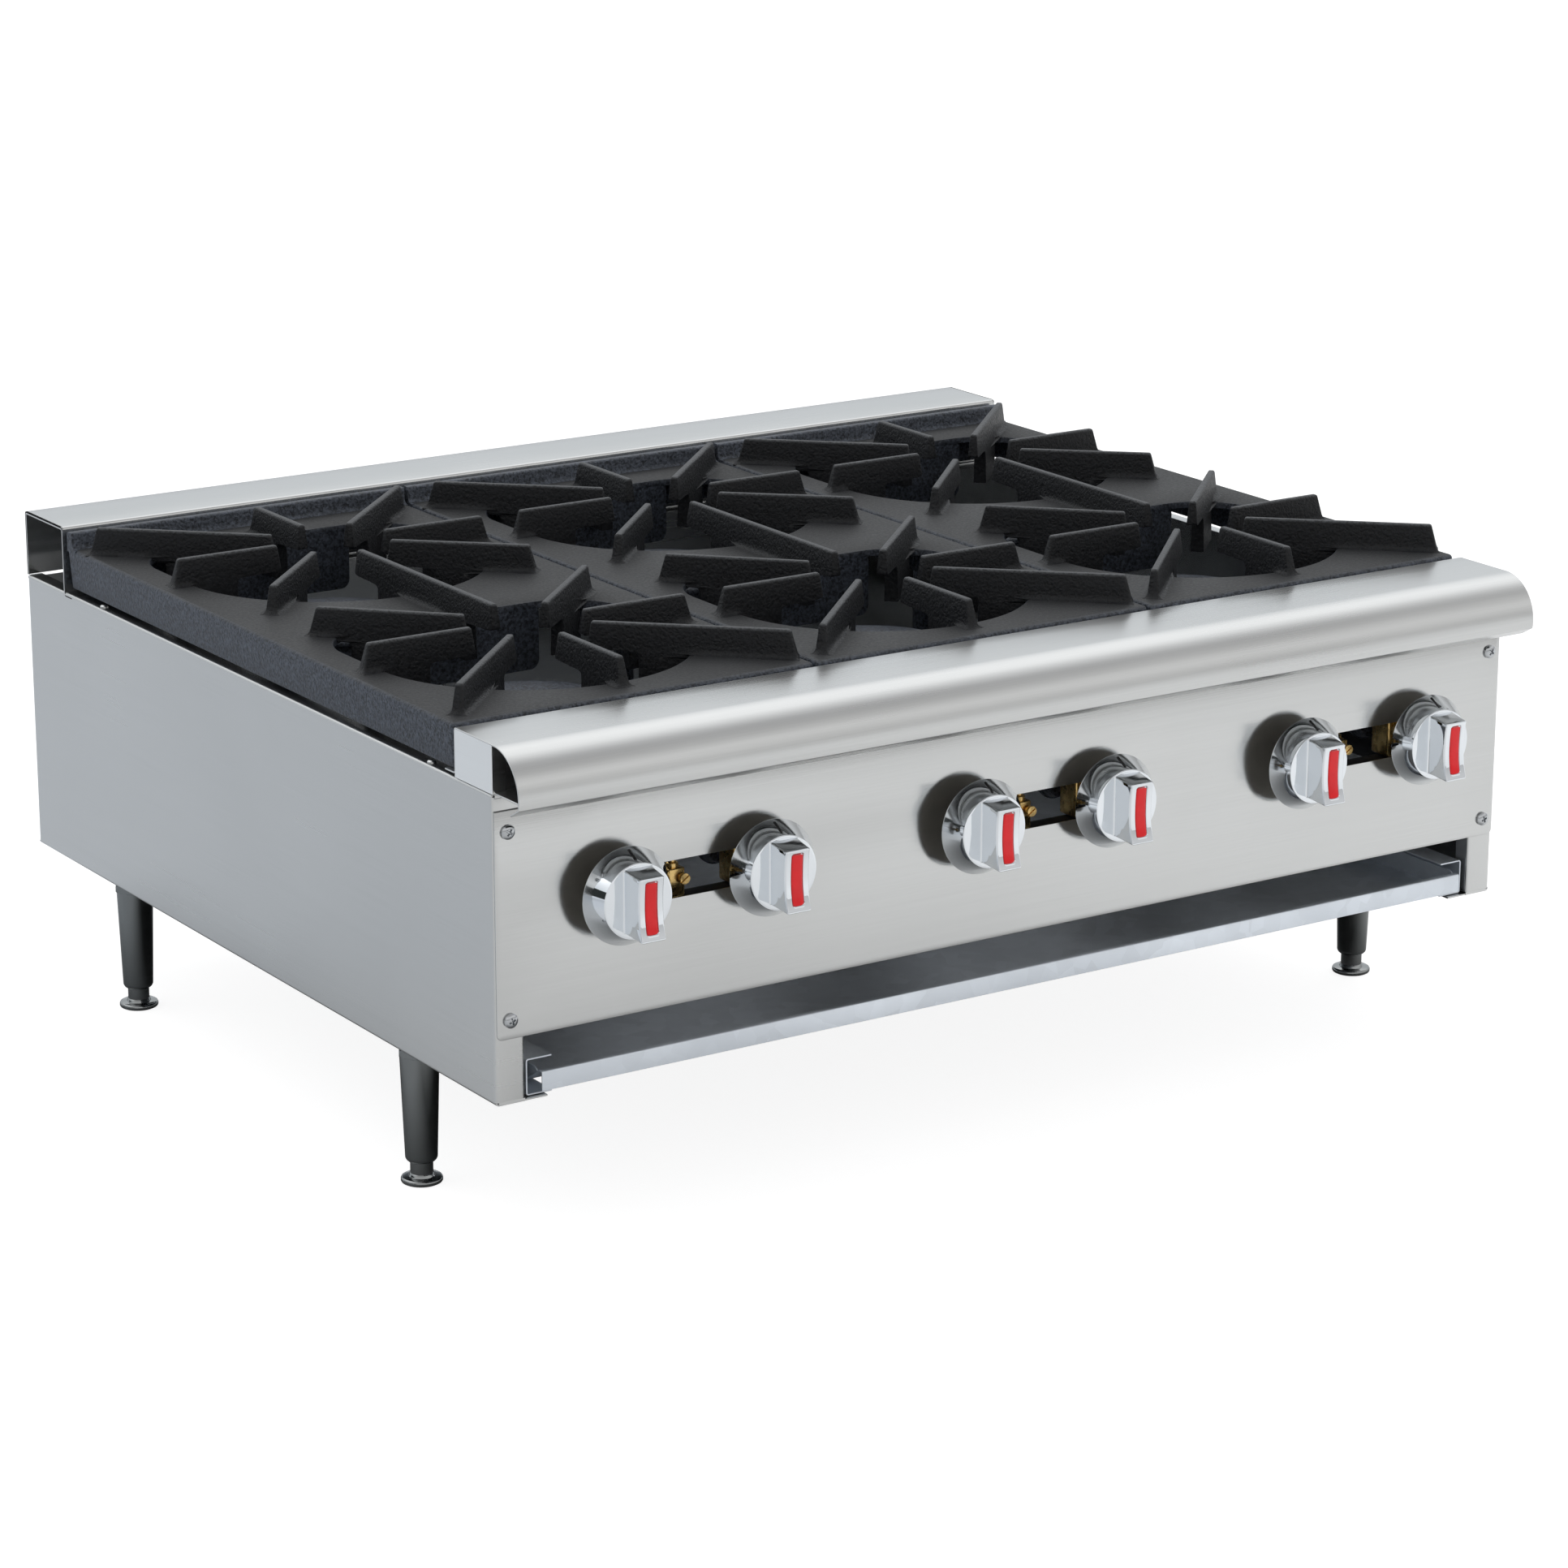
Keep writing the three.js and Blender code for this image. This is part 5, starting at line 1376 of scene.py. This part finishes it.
class GASRANGE_OT_knobs(bpy.types.Operator):
    """Adds the six knobs with their inlays and pointer dashes"""

    bl_idname = "gas_range.knobs"
    bl_label = "Knobs"

    def execute(self, context):
        settings = context.scene.gas_range_knob
        chrome = shared("knob_chrome", bright_plating, tuple(settings.chrome_colour), 0.035)
        red = shared("inlay_plastic", moulded_plastic, tuple(settings.inlay_colour), 0.18)
        black = shared("dash_paint", moulded_plastic, tuple(settings.mark_colour), 0.4)
        inside = shared("knob_inside", moulded_plastic, tuple(settings.knob_back_shade_colour), 0.5)
        brass_colour = tuple(context.scene.gas_range_burner.brass_colour)
        brass = shared("machined_brass", machined_brass, brass_colour)
        for number in KNOBS:
            low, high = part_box(f"knob_{number}")
            radius, back = (high.x - low.x) / 2, high.y - HUB_REACH
            place = ((low.x + high.x) / 2, back, (low.z + high.z) / 2)
            reach, disc, depth = back - low.y, 0.0275, 0.016
            turn = (90, 0, 0)
            body = f"knob_{number}_turning"
            hub = lathe([(0.0052, -HUB_REACH), (0.0076, -HUB_REACH), (0.0080, -HUB_REACH + 0.0004),
                         (0.0080, 0.0008), (0.0052, 0.0008)], 40)
            parts = [knob_skirt(radius, disc, depth), grip_bar(settings, depth, reach)]
            add_piece(
                f"knob_{number}_shell", [moved(part, place, turn) for part in parts], chrome,
                body, [f"knob_{number}"], 0.0, 32)
            strip = moved(knob_inlay(settings, reach), place, turn)
            add_piece(
                f"knob_{number}_inlay_strip", [strip], red, body, [f"knob_inlay_{number}"])
            dash = moved(skirt_dash(radius, disc, depth), place, turn)
            add_piece(f"knob_{number}_dash", [dash], black, body)
            # Painted shade: a dull grey-brown disc closes the knob's hollow back, standing in for
            # the shade there, which the panel mirrors as a dark smudge.
            rim = radius - 0.0024
            hollow = lathe([(0.0060, 0), (rim, 0), (rim, 0.0012), (0.0060, 0.0012)], 64)
            add_piece(
                f"knob_{number}_back", [moved(hollow, place, turn), moved(hub, place, turn)],
                inside, body)
            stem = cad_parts[f"valve_stem_{number}"]
            stem.data.materials.clear()
            stem.data.materials.append(brass)
        return {"FINISHED"}


class GASRANGE_OT_legs(bpy.types.Operator):
    """Adds the four tapered legs with hexagonal collars, and their screw-in feet"""

    bl_idname = "gas_range.legs"
    bl_label = "Legs"

    def execute(self, context):
        settings = context.scene.gas_range_leg
        # Painted shade: the dark plating colour stands in for the shaded floor the legs mirror.
        nickel = shared("leg_nickel", bright_plating, tuple(settings.leg_plating_shade_colour), 0.13)
        bright = shared("foot_plating", bright_plating, tuple(settings.foot_colour), 0.10)
        for word, _ in SIDES:
            for place in ("front", "rear"):
                node = f"leg_{place}_{word}"
                low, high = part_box(node)
                x, y = (low.x + high.x) / 2, (low.y + high.y) / 2
                top = BASE - 0.0003
                end = low.z
                column = lathe([
                    (0.0092, end + 0.0300), (0.0092, end + 0.0004), (0.0096, end), (0.0104, end),
                    (0.0112, end + 0.0008), (0.0119, end + 0.0022), (0.0120, end + 0.0034),
                    (0.0146, top - 0.0078), (0.0146, top - 0.0060), (0.0100, top - 0.0050)], 56)
                collar = prism_turned([
                    (0.0140, 0.0146, top - 0.0067), (0.0160, 0.0146, top - 0.0060),
                    (0.0168, 0.0146, top - 0.0052), (0.0168, 0.0146, top - 0.0012),
                    (0.0160, 0.0146, top - 0.0004), (0.0150, 0.0146, top)], 6, 72)
                stud = lathe([
                    (0.0045, top - 0.001), (0.0045, BASE + 0.0085), (0.0038, BASE + 0.009)], 24)
                add_piece(
                    f"{node}_column", [moved(part, (x, y, 0)) for part in (column, collar, stud)],
                    nickel, "case", [node])
                foot = lathe([
                    (0.0020, 0.0), (0.0138, 0.0), (0.0150, 0.0006), (0.0155, 0.0014),
                    (0.0155, 0.0030), (0.0150, 0.0040), (0.0138, 0.0046), (0.0098, 0.0049),
                    (0.0094, 0.0056), (0.0090, 0.0068), (0.0085, 0.0074), (0.0085, 0.0585),
                    (0.0075, 0.0595), (0.0020, 0.0595)], 56)
                foot_node = f"foot_{place}_{word}"
                add_piece(
                    f"{foot_node}_pad", [moved(foot, (x, y, 0))], bright, f"{foot_node}_screwing",
                    [foot_node])
        return {"FINISHED"}


class GASRANGE_OT_plain_parts(bpy.types.Operator):
    """Gives the frame pieces that stay in view their finishes"""

    bl_idname = "gas_range.plain_parts"
    bl_label = "Plain parts"

    def execute(self, context):
        settings = context.scene.gas_range_case
        dark = shared("dark_steel", dull_metal, tuple(settings.dark_colour))
        steel = shared(
            "stainless_backguard", brushed_steel, settings, (0,), settings.side_roughness)
        for node, material in (
            ("back_panel", steel), ("burner_rail_front", dark), ("burner_rail_rear", dark),
        ):
            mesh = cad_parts[node].data
            mesh.materials.clear()
            mesh.materials.append(material)
        return {"FINISHED"}


class GASRANGE_OT_stage(bpy.types.Operator):
    """Adds the pale floor, the studio sky, the soft box and a dark curtain to the left"""

    bl_idname = "gas_range.stage"
    bl_label = "Stage"

    def floor_paper(self, settings):
        """Floor material: white where seen directly. In reflections it is bright in front, cooler to
        the left and rear, and dark under the range, a painted shadow of the range that the steel and
        plating mirror."""
        paper = Finish("floor_paper", tuple(settings.floor_colour), 0.0, 0.9)
        nodes, links = paper.nodes, paper.links
        split = nodes.new("ShaderNodeSeparateXYZ")
        links.new(paper.place, split.inputs["Vector"])
        leftward = paper.math("SUBTRACT", split.outputs["Y"], split.outputs["X"])
        front = paper.mix(
            paper.spread(split.outputs["X"], 0, 1, -0.25, 0.55), scaled(settings.front_colour, 0.80),
            tuple(settings.front_colour))
        tone = paper.mix(
            paper.spread(leftward, 0, 1, -0.2, 1.0), front, tuple(settings.side_colour))
        # Painted shadow: for reflections only, the floor is darkened under the range's footprint.
        beyond_side = paper.math("SUBTRACT", paper.math("ABSOLUTE", split.outputs["X"], 0), 0.42)
        beyond_front = paper.math("SUBTRACT", paper.math("ABSOLUTE", split.outputs["Y"], 0), 0.36)
        clear = paper.spread(paper.math("MAXIMUM", beyond_side, beyond_front), 0, 1, -0.04, 0.22)
        tone = paper.mix(clear, tuple(settings.shadow_below_colour), tone)
        links.new(tone, paper.shader.inputs["Base Color"])
        glow = nodes.new("ShaderNodeEmission")
        glow.inputs["Color"].default_value = (1, 1, 1, 1)
        glow.inputs["Strength"].default_value = settings.floor_glow
        white = nodes.new("ShaderNodeBsdfDiffuse")
        white.inputs["Color"].default_value = (*settings.floor_colour, 1)
        seen = nodes.new("ShaderNodeAddShader")
        links.new(glow.outputs[0], seen.inputs[0])
        links.new(white.outputs[0], seen.inputs[1])
        switch = nodes.new("ShaderNodeMixShader")
        links.new(nodes.new("ShaderNodeLightPath").outputs["Is Camera Ray"], switch.inputs[0])
        links.new(paper.shader.outputs[0], switch.inputs[1])
        links.new(seen.outputs[0], switch.inputs[2])
        links.new(switch.outputs[0], nodes["Material Output"].inputs["Surface"])
        return paper.material

    def sky(self, settings):
        """World: brightest high behind the range and dimmer above its front."""
        world = bpy.data.worlds.new("studio")
        world.use_nodes = True
        nodes, links = world.node_tree.nodes, world.node_tree.links
        split = nodes.new("ShaderNodeSeparateXYZ")
        links.new(nodes.new("ShaderNodeTexCoord").outputs["Generated"], split.inputs["Vector"])
        bands = (
            ((0.0, (0.42, 0.42, 0.42)), (0.14, (0.50, 0.50, 0.50)), (0.42, (0.76, 0.76, 0.76)),
             (0.68, (0.42, 0.42, 0.42)), (0.86, (0.36, 0.36, 0.37)), (1.0, (0.60, 0.61, 0.62))),
            ((0.0, (0.56, 0.58, 0.61)), (0.28, (0.55, 0.58, 0.60)), (0.46, (0.74, 0.76, 0.78)),
             (0.62, (1.06, 1.07, 1.08)), (0.84, (1.06, 1.07, 1.08)), (1.0, (0.88, 0.89, 0.90))),
        )
        ramps = []
        for stops in bands:
            ramp = nodes.new("ShaderNodeValToRGB")
            links.new(split.outputs["Z"], ramp.inputs["Fac"])
            elements = ramp.color_ramp.elements
            elements[0].position, elements[0].color = stops[0][0], (*stops[0][1], 1)
            elements[1].position, elements[1].color = stops[-1][0], (*stops[-1][1], 1)
            for position, tint in stops[1:-1]:
                elements.new(position).color = (*tint, 1)
            ramps.append(ramp.outputs["Color"])
        rearward = nodes.new("ShaderNodeMapRange")
        rearward.inputs["From Min"].default_value = -0.22
        rearward.inputs["From Max"].default_value = 0.22
        links.new(split.outputs["Y"], rearward.inputs["Value"])
        blend = nodes.new("ShaderNodeMix")
        blend.data_type = "RGBA"
        links.new(rearward.outputs["Result"], blend.inputs["Factor"])
        links.new(ramps[0], blend.inputs[6])
        links.new(ramps[1], blend.inputs[7])
        background = nodes["Background"]
        background.inputs["Strength"].default_value = settings.sky
        links.new(blend.outputs[2], background.inputs["Color"])
        return world

    def execute(self, context):
        settings = context.scene.gas_range_stage
        side = 40.0
        flat = np.array([(-side, -side, 0), (side, -side, 0), (side, side, 0), (-side, side, 0)])
        mesh = bpy.data.meshes.new("floor")
        mesh.from_pydata(flat.tolist(), [], [(0, 1, 2, 3)])
        mesh.materials.append(self.floor_paper(settings))
        floor = bpy.data.objects.new("floor", mesh)
        context.scene.collection.objects.link(floor)
        context.scene.world = self.sky(settings)
        lamp = bpy.data.lights.new("soft_box", "AREA")
        lamp.shape = "RECTANGLE"
        lamp.size, lamp.size_y = 2.4, 1.2
        lamp.energy = settings.lamp
        holder = bpy.data.objects.new("soft_box", lamp)
        holder.location = (1.35, 0.95, 2.1)
        holder.rotation_euler = (math.radians(-26), math.radians(28), 0)
        holder.visible_glossy = False
        context.scene.collection.objects.link(holder)
        curtain = bpy.data.meshes.new("curtain")
        low, high, reach = 0.35, 1.7, 5.0
        corners = [(-reach, -3, low), (-reach, 5, low), (-reach, 5, high), (-reach, -3, high)]
        curtain.from_pydata(corners, [], [(0, 1, 2, 3)])
        curtain.materials.append(Finish("curtain_cloth", (0.02, 0.024, 0.022), 0.0, 0.9).material)
        drape = bpy.data.objects.new("curtain", curtain)
        drape.visible_camera = False
        context.scene.collection.objects.link(drape)
        context.scene.view_settings.view_transform = "Standard"
        return {"FINISHED"}


OPERATORS = (
    GASRANGE_OT_camera,
    GASRANGE_OT_case,
    GASRANGE_OT_bullnose,
    GASRANGE_OT_control_panel,
    GASRANGE_OT_tray,
    GASRANGE_OT_gas_train,
    GASRANGE_OT_burners,
    GASRANGE_OT_grates,
    GASRANGE_OT_knobs,
    GASRANGE_OT_legs,
    GASRANGE_OT_plain_parts,
    GASRANGE_OT_stage,
)
SETTINGS = {
    "gas_range_case": RangeCaseSettings,
    "gas_range_grate": RangeGrateSettings,
    "gas_range_knob": RangeKnobSettings,
    "gas_range_burner": RangeBurnerSettings,
    "gas_range_tray": RangeTraySettings,
    "gas_range_leg": RangeLegSettings,
    "gas_range_stage": RangeStageSettings,
}


class GASRANGE_PT_panel(bpy.types.Panel):
    """Lists the sizes, the colours and the pieces"""

    bl_idname = "GASRANGE_PT_panel"
    bl_label = "Gas range"
    bl_space_type = "VIEW_3D"
    bl_region_type = "UI"
    bl_category = "Gas range"

    def draw(self, context):
        for key, group in SETTINGS.items():
            box = self.layout.box()
            for name in group.__annotations__:
                box.prop(getattr(context.scene, key), name)
        for operator in OPERATORS:
            self.layout.operator(operator.bl_idname)


def register():
    for group in (*SETTINGS.values(), *OPERATORS, GASRANGE_PT_panel):
        bpy.utils.register_class(group)
    for key, group in SETTINGS.items():
        setattr(bpy.types.Scene, key, bpy.props.PointerProperty(type=group))


def unregister():
    for key in SETTINGS:
        delattr(bpy.types.Scene, key)
    for group in (GASRANGE_PT_panel, *reversed(OPERATORS), *reversed(SETTINGS.values())):
        bpy.utils.unregister_class(group)


def main():
    register()
    for operator in OPERATORS:
        family, name = operator.bl_idname.split(".")
        getattr(getattr(bpy.ops, family), name)()
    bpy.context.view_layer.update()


if __name__ == "__main__":
    main()
